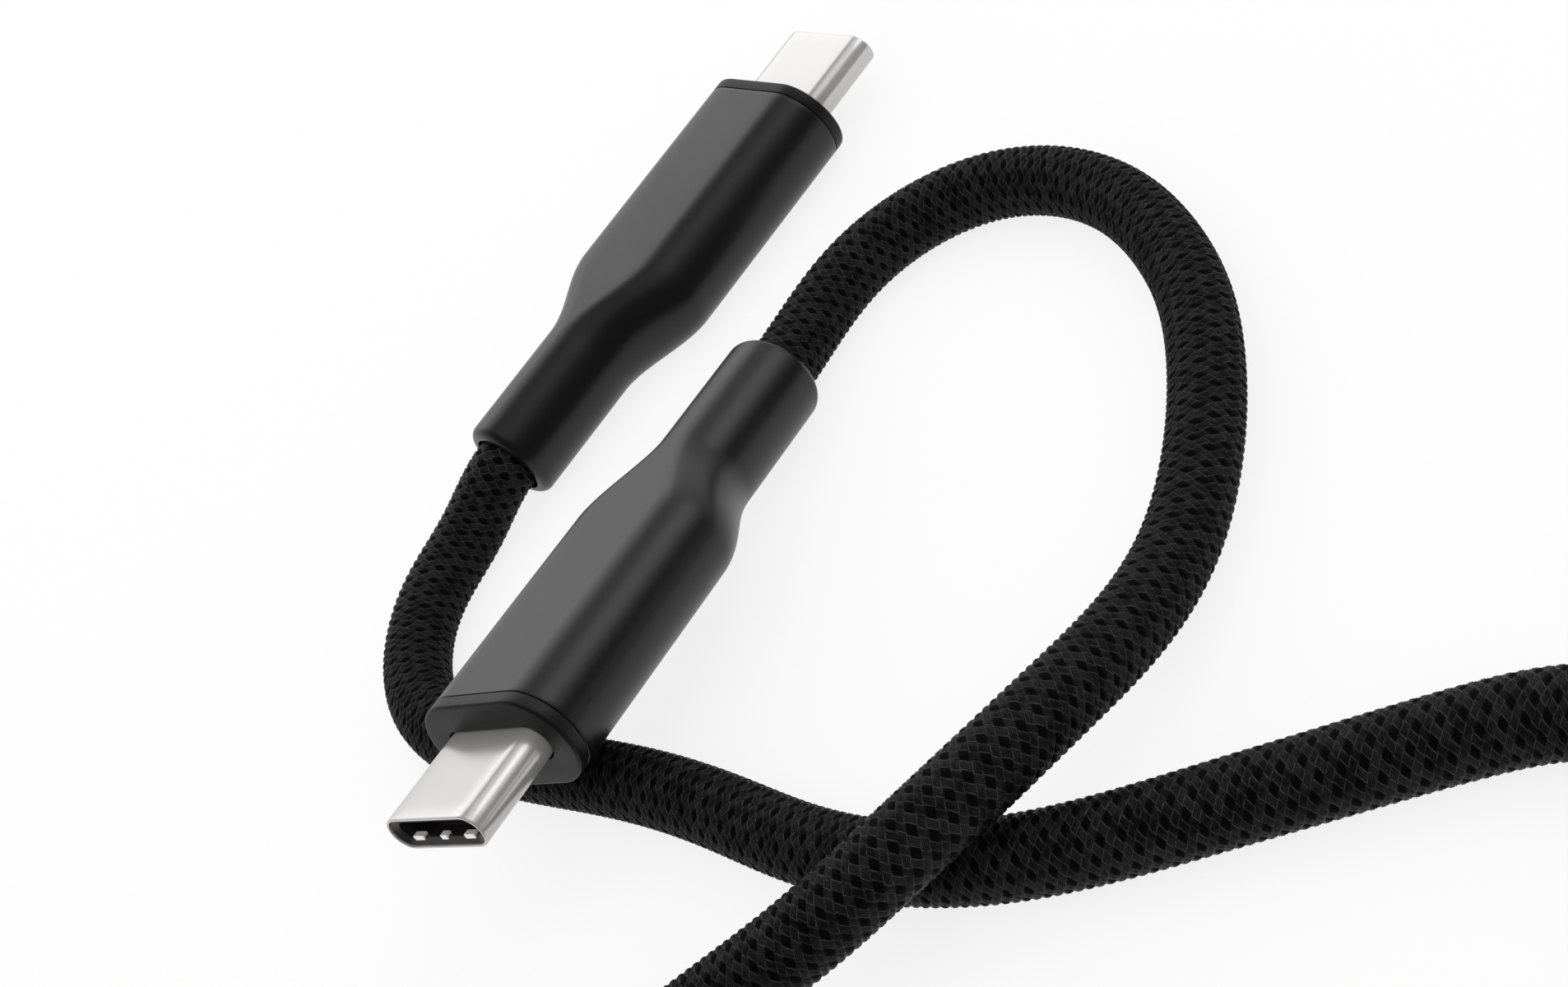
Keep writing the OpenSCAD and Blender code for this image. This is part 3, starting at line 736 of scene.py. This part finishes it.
def yarn_material():
    material, graph = new_material("nylon_braid")
    around, along = uv_place(graph)
    one_way, other_way = around - along, around + along
    one_count, other_count = one_way.math("ROUND"), other_way.math("ROUND")
    odd = (one_count + other_count).math("PINGPONG", 1.0)
    one_on_top = 1 - odd
    across_one, across_other = one_way - one_count, other_way - other_count
    across = across_one * one_on_top + across_other * odd
    length = across_other * one_on_top + across_one * odd
    black = one_on_top * (1 - one_count.math("PINGPONG", 1.0))

    thread, one, other, stretch = OWN_PATTERN
    cell_place = graph.combined(
        across * thread, one_count * one + other_count * other, length * stretch)
    own = noise(graph, cell_place, 1.0, detail=1.0)
    glint_patch = noise(graph, own_place(graph), GLINT_PATCH_COUNT)
    filament = (across * (2 * math.pi * FILAMENTS)).math("COSINE")
    off_axis, off_cross = across.math("ABSOLUTE"), length.math("ABSOLUTE")
    edge, ends = (ramp(off, RIB_START, YARN_EDGE, 1.0, 0.0) for off in (off_axis, off_cross))
    edge_glint = ramp(off_axis, RIB_START, RIB_TOP) * ramp(off_axis, RIB_TOP, YARN_EDGE, 1.0, 0.0)
    # painted glint: pale lines along each yarn's edge and, in patches, over its filaments
    painted_glint = (edge_glint * ramp(own, *PATCHY, *EDGE_GLINT_RANGE)
             + (filament * 0.5 + 0.5) * ramp(glint_patch, *PATCHY, *FILAMENT_GLINT_RANGE))
    grey_and_glint = graph.blended(painted_glint, graph.blended(own, *GREY_YARN), PAINTED_GLINT)
    inside = (ramp(off_axis, RIB_TOP, YARN_EDGE, 1.0, BLACK_AT_EDGE)
              * ramp(off_cross, RIB_TOP, YARN_EDGE, 1.0, BLACK_AT_EDGE))
    colour = graph.blended(black * inside, grey_and_glint, graph.blended(own, *BLACK_YARN))
    rough = YARN_ROUGHNESS + swing(glint_patch, GLINT_PATCH_ROUGHNESS) + black * BLACK_ROUGHNESS
    height = (edge * EDGE_DEPTH + ends * END_DEPTH + filament * FILAMENT_DEPTH) * MM
    surface(graph, Base_Color=colour, Roughness=rough, Specular_IOR_Level=YARN_GLOSS,
            Normal=bumped(graph, height))
    return material


yarn = yarn_material()

# %% [markdown]
# ### The three stretches
# The tree is a modifier on a bare line of points. What it makes is copied into a plain
# mesh, whose two open ends are closed. The free stretches have three steps of the grid
# from pillow to pillow. The coil lies out of view and makes do with one.


# %% Cord pieces
def new_piece(name, mesh, replaced):
    """An object that rides on the cable's body in the place of a CAD piece."""
    piece = new_object(name, mesh)
    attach(piece, "root")
    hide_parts(replaced)
    print(name, len(mesh.polygons), "faces")
    return piece


def close_ends(mesh):
    """Closes the two open ends of a tube."""
    work = bmesh.new()
    work.from_mesh(mesh)
    rim = [edge for edge in work.edges if edge.is_boundary]
    caps = bmesh.ops.holes_fill(work, edges=rim, sides=0)["faces"]
    for face in caps:
        face.smooth = False
    work.to_mesh(mesh)
    work.free()


def braided_piece(name, path, steps, replaced):
    """A braided tube along a path in millimetres."""
    host_mesh = bpy.data.meshes.new(name + "_path")
    points = (path * MM).tolist()
    host_mesh.from_pydata(points, [(k, k + 1) for k in range(len(points) - 1)], [])
    host = new_object(name + "_path", host_mesh)
    modifier = host.modifiers.new("sleeve", "NODES")
    modifier.node_group = sleeve_tree
    cells = 2 * round(path_length(path) / CELL_LENGTH / 2)
    values = {"Radius": CORD_D / 2 * MM, "Relief": BRAID_RELIEF * MM, "Carriers": CARRIERS,
              "Steps": steps, "Rings": 2 * steps * cells, "Material": yarn}
    for socket_name, value in values.items():
        modifier[sleeve_sockets[socket_name]] = value
    bpy.context.view_layer.update()
    result = host.evaluated_get(bpy.context.evaluated_depsgraph_get())
    mesh = bpy.data.meshes.new_from_object(result)
    mesh.name = name
    bpy.data.objects.remove(host)
    close_ends(mesh)
    return new_piece(name, mesh, replaced)


FREE_STEPS, COIL_STEPS = 3, 1
near_cord = braided_piece("near_cord_braid", near_path, FREE_STEPS, "near_cord")
far_cord = braided_piece("far_cord_braid", far_path, FREE_STEPS, "far_cord")
coil = braided_piece("cord_coil_braid", coil_path, COIL_STEPS, "cord_coil")


# %% Cord facts
def in_metres(point):
    return tuple(value * MM for value in point)


def every_point(path, step):
    """Some of a path's points, with both ends, in metres."""
    picked = list(range(0, len(path) - 1, step)) + [len(path) - 1]
    return [in_metres(path[k]) for k in picked]


in_metres(NEAR_EXIT)
path_length(near_path) * MM
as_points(every_point(near_path, step=4))
in_metres(coil_head)
path_length(coil_path) * MM
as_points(every_point(coil_path, step=2))
in_metres(far_exit)
path_length(far_path) * MM
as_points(every_point(far_path, step=4))
print("Cord in all:", round(sum(path_length(p) for p in (near_path, coil_path, far_path))), "mm")

# %% [markdown]
# ## Lofted pieces
# The housing, the collar and the metal tip are all the same kind of form: one section,
# an obround, that changes along the plug. Each is made as a loft, a skin over a list of
# rings. The list runs along the outside and comes back along the inside, so the skin
# closes on itself and the wall has its real thickness.


# %% Obround rings and lofts
ARC_STEPS = 48  # round each half circle
FLAT_STEPS = 8  # along each flat
FLAT_EDGE = math.radians(2)  # a flat takes this much of the circle, so it has a length
SHARP_ANGLE = math.radians(38)


def obround_ring(distance, flat, radius):
    """Points round an obround section. Its flat may shrink to nothing, and leave a circle."""
    ring = []
    for side in (1, -1):
        for k in range(FLAT_STEPS):
            share = 1 - 2 * k / FLAT_STEPS
            angle = FLAT_EDGE * share
            ring.append((side * (flat * share + radius * math.sin(angle)), distance,
                         side * radius * math.cos(angle)))
        for k in range(ARC_STEPS):
            angle = -FLAT_EDGE - (math.pi - 2 * FLAT_EDGE) * k / ARC_STEPS
            ring.append((side * (-flat + radius * math.sin(angle)), distance,
                         side * radius * math.cos(angle)))
    return ring


def rings_at(*places):
    """A ring for each (distance, flat, radius)."""
    return [obround_ring(*place) for place in places]


def rounded(start, end, first, steps, flat):
    """Rings along a quarter-round edge from one (distance, radius) to another.

    First names the one of the two that changes first.
    """
    rings = []
    for k in range(steps + 1):
        turn = math.pi / 2 * k / steps
        if first == "radius":
            u, v = math.sin(turn), 1 - math.cos(turn)
        else:
            u, v = 1 - math.cos(turn), math.sin(turn)
        distance = start[0] + (end[0] - start[0]) * v
        radius = start[1] + (end[1] - start[1]) * u
        rings.append(obround_ring(distance, flat, radius))
    return rings


def skin(order, size):
    """Faces between rings of points that follow each other in the given order."""
    faces = []
    for ring, after in zip(order, order[1:]):
        for i in range(size):
            j = (i + 1) % size
            faces.append((ring * size + i, ring * size + j, after * size + j, after * size + i))
    return faces


def smooth_piece(name, mesh, finish, sharp, replaced):
    """A piece that is shaded smooth, apart from the edges that turn by more than an angle."""
    mesh.materials.append(finish)
    mesh.shade_smooth()
    mesh.set_sharp_from_angle(angle=sharp)
    new_piece(name, mesh, replaced)


def loft(name, rings, matrix, finish, replaced):
    """A closed skin over a list of rings that returns to its start."""
    count = len(rings[0])
    points = [matrix @ Vector(p) * MM for ring in rings for p in ring]
    mesh = bpy.data.meshes.new(name)
    mesh.from_pydata(points, [], skin([*range(len(rings)), 0], count))
    uv = mesh.uv_layers.new(name="UVMap")
    run = [0.0]
    for before, ring in zip(rings, rings[1:] + rings[:1]):
        run.append(run[-1] + (Vector(ring[0]) - Vector(before[0])).length * MM)
    corners = []
    for k in range(len(rings)):
        for i in range(count):
            corners += [i / count, run[k], (i + 1) / count, run[k],
                        (i + 1) / count, run[k + 1], i / count, run[k + 1]]
    uv.data.foreach_set("uv", corners)
    smooth_piece(name, mesh, finish, SHARP_ANGLE, replaced)


def on_both_plugs(name, rings, finish, replaced):
    for prefix, matrix in PLUGS.items():
        loft(f"{prefix}_{name}", rings, matrix, finish, f"{prefix}_{replaced}")


# %% [markdown]
# ### Housing
# In front the housing is wide, to hold the board, and its shoulder draws the section in
# to the round sleeve. The flat top and bottom taper away on the way. Inside are a bay
# for the board and a bore for the cord, so at its ends the wall shows its real thickness.

# %% Housings
BODY_FLAT = 2.65
COLLAR_LENGTH = 0.9
JOINT_GAP = 0.05
BODY_LENGTH = 16.6
BODY_SHARES = (0.02, 0.2, 0.4, 0.6, 0.8, 0.97)  # places of the rings along the body
SHOULDER_LENGTH = 6.8
SHOULDER_STEPS = 30
REAR_RING = 2  # a last ring of the sleeve before its round end
EDGE = 0.05
EDGE_STEPS, REAR_STEPS = 3, 12
BAY_FLAT, BAY_R, BAY_END = 2.65, 2.45, 17.0
BORE_R, BORE_END = 2.65, 30.0
MOUTH_R = 2.45


def ease(t):
    return t * t * (3 - 2 * t)


def housing_rings():
    front, rear = COLLAR_LENGTH + JOINT_GAP, PLUG_LENGTH
    round_start = rear - REAR_ROUND
    rings = rounded((front, BODY_R - EDGE), (front + EDGE, BODY_R), "radius",
                    EDGE_STEPS, BODY_FLAT)
    for share in BODY_SHARES:
        rings += rings_at((front + (BODY_LENGTH - front) * share, BODY_FLAT, BODY_R))
    for k in range(SHOULDER_STEPS + 1):
        t = k / SHOULDER_STEPS
        flat = BODY_FLAT * (1 - ease(t))
        rings += rings_at((BODY_LENGTH + SHOULDER_LENGTH * t, flat, BODY_R))
    rings += rings_at((round_start - REAR_RING, 0, BODY_R))
    rings += rounded((round_start, BODY_R), (rear, BODY_R - REAR_ROUND), "distance", REAR_STEPS, 0)
    rings += rounded((rear, MOUTH_R + EDGE), (rear - EDGE, MOUTH_R), "radius", EDGE_STEPS, 0)
    rings += rings_at((BORE_END, 0, MOUTH_R), (BORE_END, 0, BORE_R), (BAY_END, 0, BORE_R),
                      (BAY_END, BAY_FLAT, BAY_R), (front, BAY_FLAT, BAY_R))
    return rings


on_both_plugs("housing_skin", housing_rings(), housing_skin, "housing")

# %% [markdown]
# ### Collar
# The housing's open front is closed by a plate with a slot for the tip. It is a piece
# of its own, so a fine joint runs round the plug behind it. A spigot on its back fits
# into the housing.

# %% Collars
COLLAR_ROUND, COLLAR_STEPS = 0.2, 6
TIP_FLAT, TIP_R = 2.925, 1.2
SLOT_GAP = 0.11
SPIGOT_FLAT, SPIGOT_R, SPIGOT_END = 2.65, 2.40, 3.0


def collar_rings():
    slot_r = TIP_R + SLOT_GAP
    back = COLLAR_LENGTH
    rings = rounded((0, slot_r + EDGE), (EDGE, slot_r), "radius", EDGE_STEPS, TIP_FLAT)[::-1]
    rings += rounded((0, BODY_R - COLLAR_ROUND), (COLLAR_ROUND, BODY_R), "radius",
                     COLLAR_STEPS, BODY_FLAT)
    rings += rounded((back - EDGE, BODY_R), (back, BODY_R - EDGE), "distance",
                     EDGE_STEPS, BODY_FLAT)
    rings += rings_at((back, SPIGOT_FLAT, SPIGOT_R), (SPIGOT_END, SPIGOT_FLAT, SPIGOT_R),
                      (SPIGOT_END, TIP_FLAT, slot_r))
    return rings


on_both_plugs("collar_face", collar_rings(), collar_skin, "front_collar")

# %% [markdown]
# ### Tip
# The metal tip is a drawn shell. Its edge at the mouth is rounded, so that it guides
# itself into a socket, and its wall is thinned there to make room for the lining's lip.

# %% Tips
TIP_LENGTH = 6.65
TIP_BACK = 4.4
TIP_WALL, MOUTH_WALL = 0.3, 0.18
MOUTH_DEPTH = 0.8  # how far in the thinner wall goes
TIP_RINGS = (-5.5, -3.5, -1.5, 0.5, TIP_BACK)
RIM_ROUND, RIM_STEPS = 0.10, 6
RIM_INSIDE = RIM_ROUND / 4


def tip_rings():
    front, inner, mouth = -TIP_LENGTH, TIP_R - TIP_WALL, TIP_R - MOUTH_WALL
    rings = rounded((front, TIP_R - RIM_ROUND), (front + RIM_ROUND, TIP_R), "radius",
                    RIM_STEPS, TIP_FLAT)
    rings += rings_at(*((distance, TIP_FLAT, TIP_R) for distance in TIP_RINGS))
    step = MOUTH_DEPTH - TIP_LENGTH
    rings += rings_at((TIP_BACK, TIP_FLAT, inner), (step, TIP_FLAT, inner),
                      (step, TIP_FLAT, mouth))
    rings += rounded((RIM_INSIDE - TIP_LENGTH, mouth), (front, mouth + RIM_INSIDE), "distance",
                     EDGE_STEPS, TIP_FLAT)
    return rings


on_both_plugs("tip", tip_rings(), tip_steel, "plug_shell")

# %% [markdown]
# ### Inside the tip
# A plastic lining sits just behind the rim and slopes back to the slot that takes the
# socket's tongue. Through the slot's walls come the pads of two ground springs, three
# below and, a little further in, three above. The lower ones are the bright spots in a
# dark mouth, so they are made with real corners that catch the light. The lining is one
# more loft. A pad is an outline drawn out sideways, with all its edges bevelled.

# %% Linings
LINING_FRONT = 0.1 - TIP_LENGTH  # just behind the rim
LINING_BACK = -0.3
LINING_R = 0.85
LINING_ROUND = 0.06
SLOT_FLAT, SLOT_R = 2.85, 0.6
LIP_GAP, LIP_LENGTH, LIP_SLOPE = 0.03, 0.6, 0.25


def lining_rings():
    lip_r = TIP_R - MOUTH_WALL - LIP_GAP
    lip_end = LINING_FRONT + LIP_LENGTH
    rings = rounded((LINING_FRONT, lip_r - LINING_ROUND), (LINING_FRONT + LINING_ROUND, lip_r),
                    "radius", EDGE_STEPS, TIP_FLAT)
    rings += rings_at((lip_end, TIP_FLAT, lip_r), (lip_end, TIP_FLAT, LINING_R),
                      (LINING_BACK, TIP_FLAT, LINING_R), (LINING_BACK, SLOT_FLAT, SLOT_R),
                      (LINING_FRONT + LIP_SLOPE, SLOT_FLAT, SLOT_R))
    return rings


on_both_plugs("lining", lining_rings(), INNER_FINISHES["lining"], "front_insulator")

# %% Ground springs
PAD_PITCH = 2.3
PAD_W = 0.9
PAD_MIDDLE_W = PAD_W * 0.65  # the middle pad is narrower
PAD_FRONT = LINING_FRONT + 0.15
UPPER_SETBACK = 0.5  # how much further in the upper spring lies
PAD_LENGTH = 0.4
PAD_REACH = 0.42  # from the tip's middle
STRIP_W = 2 * PAD_PITCH + PAD_W + 0.3
STRIP_LENGTH, STRIP_T = 1.2, 0.1
SPRING_BEVEL, SPRING_BEVEL_STEPS = 0.025, 3
SPRING_SHARP = math.radians(20)


def drawn_out(outline, middle, width, matrix):
    """A bar with the given outline of (distance, height) points, all its edges bevelled."""
    work = bmesh.new()
    ends = []
    for x in (middle - width / 2, middle + width / 2):
        ends.append([work.verts.new((x, distance, height)) for distance, height in outline])
    work.faces.new(ends[0])
    work.faces.new(ends[1][::-1])
    for k in range(len(outline)):
        after = (k + 1) % len(outline)
        work.faces.new((ends[0][k], ends[1][k], ends[1][after], ends[0][after]))
    bmesh.ops.bevel(work, geom=work.edges[:], offset=SPRING_BEVEL, segments=SPRING_BEVEL_STEPS,
                    affect="EDGES", clamp_overlap=True)
    bmesh.ops.recalc_face_normals(work, faces=work.faces[:])
    bmesh.ops.transform(work, matrix=matrix, verts=work.verts[:])
    for vert in work.verts:
        vert.co *= MM
    return work


def ground_springs(prefix, matrix):
    """Both springs of a plug in one mesh. The lower one is turned over and lies further out."""
    whole = bmesh.new()
    inside, outside = LINING_R - STRIP_T, LINING_R
    pad_top = LINING_R - STRIP_T / 2
    for turn, front in ((0, PAD_FRONT + UPPER_SETBACK), (math.pi, PAD_FRONT)):
        place = matrix @ Matrix.Rotation(turn, 4, "Y")
        end, back = front + STRIP_LENGTH, front + PAD_LENGTH
        strip = [(front, inside), (end, inside), (end, outside), (front, outside)]
        pad = [(front, PAD_REACH), (back, PAD_REACH), (back, pad_top), (front, pad_top)]
        bars = [drawn_out(strip, 0, STRIP_W, place)]
        for side in (-1, 0, 1):
            width = PAD_W if side else PAD_MIDDLE_W
            bars.append(drawn_out(pad, side * PAD_PITCH, width, place))
        for bar in bars:
            part = bpy.data.meshes.new("bar")
            bar.to_mesh(part)
            bar.free()
            whole.from_mesh(part)
            bpy.data.meshes.remove(part)
    mesh = bpy.data.meshes.new(prefix + "_ground_pads")
    whole.to_mesh(mesh)
    whole.free()
    smooth_piece(mesh.name, mesh, INNER_FINISHES["spring"], SPRING_SHARP,
                 prefix + "_ground_springs")


for prefix, matrix in PLUGS.items():
    ground_springs(prefix, matrix)

# %% [markdown]
# ## Strap
# The coil is held by a tape of hook-and-loop cloth. It starts on top of the turns, goes
# once round all of them and closes over its own start, with a rounded tail to pull it
# open by. It is a sweep: one flat section with soft edges is carried along the tape's
# path, a rounded box that climbs by its own thickness where it overlaps.

# %% Strap path
STRAP_HALF_T = 0.48
STRAP_LAP = 2 * STRAP_HALF_T + 0.01  # how far the end lies above the start
STRAP_CORNER = 2.75
STRAP_INSIDE_X = 13.27 - STRAP_T / 2  # distances from the coil's middle
STRAP_OUTSIDE_X = 33.8 + STRAP_T / 2
STRAP_LOW_Z = STRAP_T / 2
STRAP_HIGH_Z = 10.75 + STRAP_T / 2
STRAP_START_X = 18.0
STRAP_CLIMB = (15.6, 18.2)
STRAP_TAIL_X = 30.6
TAIL_LIFT_LENGTH, TAIL_LIFT = 3, 0.02  # the tail curls up by the square of the way along it
STRAP_STEP = 0.4


def arc(middle_x, middle_z, first, last):
    """Points round a corner of the tape, without its ends."""
    count = round(abs(last - first) * STRAP_CORNER / STRAP_STEP)
    turns = [first + (last - first) * k / count for k in range(1, count)]
    return [(middle_x + STRAP_CORNER * math.cos(turn), middle_z + STRAP_CORNER * math.sin(turn))
            for turn in turns]


def straight(first, last):
    count = max(round(math.dist(first, last) / STRAP_STEP), 1)
    return [tuple(a + (b - a) * k / count for a, b in zip(first, last)) for k in range(count + 1)]


def strap_path():
    """Points of the tape's middle: distance from the coil's centre, and height."""
    inner_x, outer_x = STRAP_INSIDE_X + STRAP_CORNER, STRAP_OUTSIDE_X - STRAP_CORNER
    low_z, high_z = STRAP_LOW_Z + STRAP_CORNER, STRAP_HIGH_Z - STRAP_CORNER
    quarter = math.pi / 2
    path = straight((STRAP_START_X, STRAP_HIGH_Z), (outer_x, STRAP_HIGH_Z))
    path += arc(outer_x, high_z, quarter, 0)
    path += straight((STRAP_OUTSIDE_X, high_z), (STRAP_OUTSIDE_X, low_z))
    path += arc(outer_x, low_z, 0, -quarter)
    path += straight((outer_x, STRAP_LOW_Z), (inner_x, STRAP_LOW_Z))
    path += arc(inner_x, low_z, -quarter, -2 * quarter)
    path += straight((STRAP_INSIDE_X, low_z), (STRAP_INSIDE_X, high_z))
    path += arc(inner_x, high_z, 2 * quarter, quarter)
    for x, z in straight((inner_x, STRAP_HIGH_Z), (STRAP_TAIL_X, STRAP_HIGH_Z)):
        share = min(max((x - STRAP_CLIMB[0]) / (STRAP_CLIMB[1] - STRAP_CLIMB[0]), 0), 1)
        lift = max(x - STRAP_TAIL_X + TAIL_LIFT_LENGTH, 0) ** 2 * TAIL_LIFT
        path.append((x, z + STRAP_LAP * ease(share) + lift))
    return path


# %% [markdown]
# ### Cloth of the strap
# The tape's face is a pile of fine loops between two woven selvedges, which keep its
# edges from fraying. Noise makes the pile, and two waves that cross make the weave.

# %% Strap cloth
STRAP_W = 8.0
SELVEDGE, SELVEDGE_BLUR = 0.9, 0.1
WALE = 0.42  # from one row of stitches to the next
PILE, PILE_PATCH = 5200.0, 500.0  # lumps in a metre
PILE_DEPTH, WEAVE_DEPTH = 0.16, 0.05
PILE_DARK, PILE_LIGHT, WEAVE_TONE = cool(0.006), cool(0.034), cool(0.012)
LOOP_HEIGHT, PATCH_HEIGHT, WALE_HEIGHT = 0.8, 0.5, 0.15
LOOP_TONE, PATCH_TONE, TONE_SPAN = 0.6, 0.4, (0.3, 0.7)
CLOTH_ROUGHNESS, WEAVE_ROUGHNESS, PILE_ROUGHNESS = 0.82, 0.2, 0.1
CLOTH_GLOSS, SHEEN, SHEEN_ROUGHNESS = 0.20, 0.12, 0.5


def strap_material():
    material, graph = new_material("loop_tape")
    across, along = uv_place(graph)
    from_edge = STRAP_W / 2 - across.math("ABSOLUTE")
    border = ramp(from_edge, SELVEDGE - SELVEDGE_BLUR, SELVEDGE + SELVEDGE_BLUR, 1.0, 0.0)
    wale, pick = ((way * (2 * math.pi / WALE)).math("COSINE") * 0.5 + 0.5
                  for way in (across, along))
    place = own_place(graph)
    pile = noise(graph, place, PILE, detail=3.0, roughness=0.7)
    patch = noise(graph, place, PILE_PATCH, detail=3.0)
    loops = (pile * LOOP_HEIGHT + patch * PATCH_HEIGHT + wale * WALE_HEIGHT) * (1 - border)
    weave = (wale * 0.5 + pick * 0.5) * border
    light = ramp(patch * PATCH_TONE + pile * LOOP_TONE, *TONE_SPAN)
    pile_tone = graph.blended(light, PILE_DARK, PILE_LIGHT)
    rough = CLOTH_ROUGHNESS - border * WEAVE_ROUGHNESS + swing(pile, PILE_ROUGHNESS)
    surface(graph, Base_Color=graph.blended(border, pile_tone, WEAVE_TONE), Roughness=rough,
            Specular_IOR_Level=CLOTH_GLOSS, Sheen_Weight=SHEEN, Sheen_Roughness=SHEEN_ROUGHNESS,
            Normal=bumped(graph, (loops * PILE_DEPTH + weave * WEAVE_DEPTH) * MM))
    return material


# %% Strap piece
STRAP_EDGE, EDGE_POINTS = 0.3, 3
CROWN, CROWN_POINTS = 0.04, 8  # each face swells a little in its middle
TAIL_ROUND = 2.6
STRAP_SHARP = math.radians(50)


def tape_section(half_width):
    """Points round the tape's section: place across it, and off its middle."""
    points = []
    flat, half_t = half_width - STRAP_EDGE, STRAP_HALF_T - STRAP_EDGE
    for corner, (side, off) in enumerate(((1, 1), (-1, 1), (-1, -1), (1, -1))):
        for k in range(EDGE_POINTS + 1):
            turn = math.pi / 2 * (corner + k / EDGE_POINTS)
            points.append((side * flat + STRAP_EDGE * math.cos(turn),
                           off * half_t + STRAP_EDGE * math.sin(turn)))
        if side == off:
            for k in range(1, CROWN_POINTS):
                crown = CROWN * math.sin(math.pi * k / CROWN_POINTS)
                points.append((side * flat - 2 * side * flat * k / CROWN_POINTS,
                               off * (STRAP_HALF_T + crown)))
    return points


def tail_narrowing(to_tail):
    """How much each edge draws in where the tape's end is rounded."""
    if to_tail >= TAIL_ROUND:
        return 0.0
    return TAIL_ROUND - math.sqrt(max(TAIL_ROUND ** 2 - (TAIL_ROUND - to_tail) ** 2, 0))


def strap_piece():
    path = strap_path()
    run = [0.0]
    for before, after in zip(path, path[1:]):
        run.append(run[-1] + math.dist(before, after))
    verts, uvs = [], []
    for k, (x, z) in enumerate(path):
        before, after = path[max(k - 1, 0)], path[min(k + 1, len(path) - 1)]
        step = math.dist(before, after)
        normal = (-(after[1] - before[1]) / step, (after[0] - before[0]) / step)
        for across, off in tape_section(STRAP_W / 2 - tail_narrowing(run[-1] - run[k])):
            place = Vector((across, -(x + normal[0] * off), z + normal[1] * off))
            verts.append(COIL_MIDDLE + place)
            uvs.append((across, run[k]))
    count = len(verts) // len(path)
    faces = skin(range(len(path)), count)
    faces.append(tuple(range(count))[::-1])
    faces.append(tuple(range(len(verts) - count, len(verts))))
    mesh = bpy.data.meshes.new("strap_tape")
    mesh.from_pydata([v * MM for v in verts], [], faces)
    uv = mesh.uv_layers.new(name="UVMap")
    uv.data.foreach_set("uv", [value for face in faces for index in face for value in uvs[index]])
    work = bmesh.new()
    work.from_mesh(mesh)
    bmesh.ops.recalc_face_normals(work, faces=work.faces[:])
    work.to_mesh(mesh)
    work.free()
    smooth_piece("strap_tape", mesh, strap_material(), STRAP_SHARP, "coil_tie")
    print("Strap:", round(run[-1], 1), "mm of tape")


strap_piece()
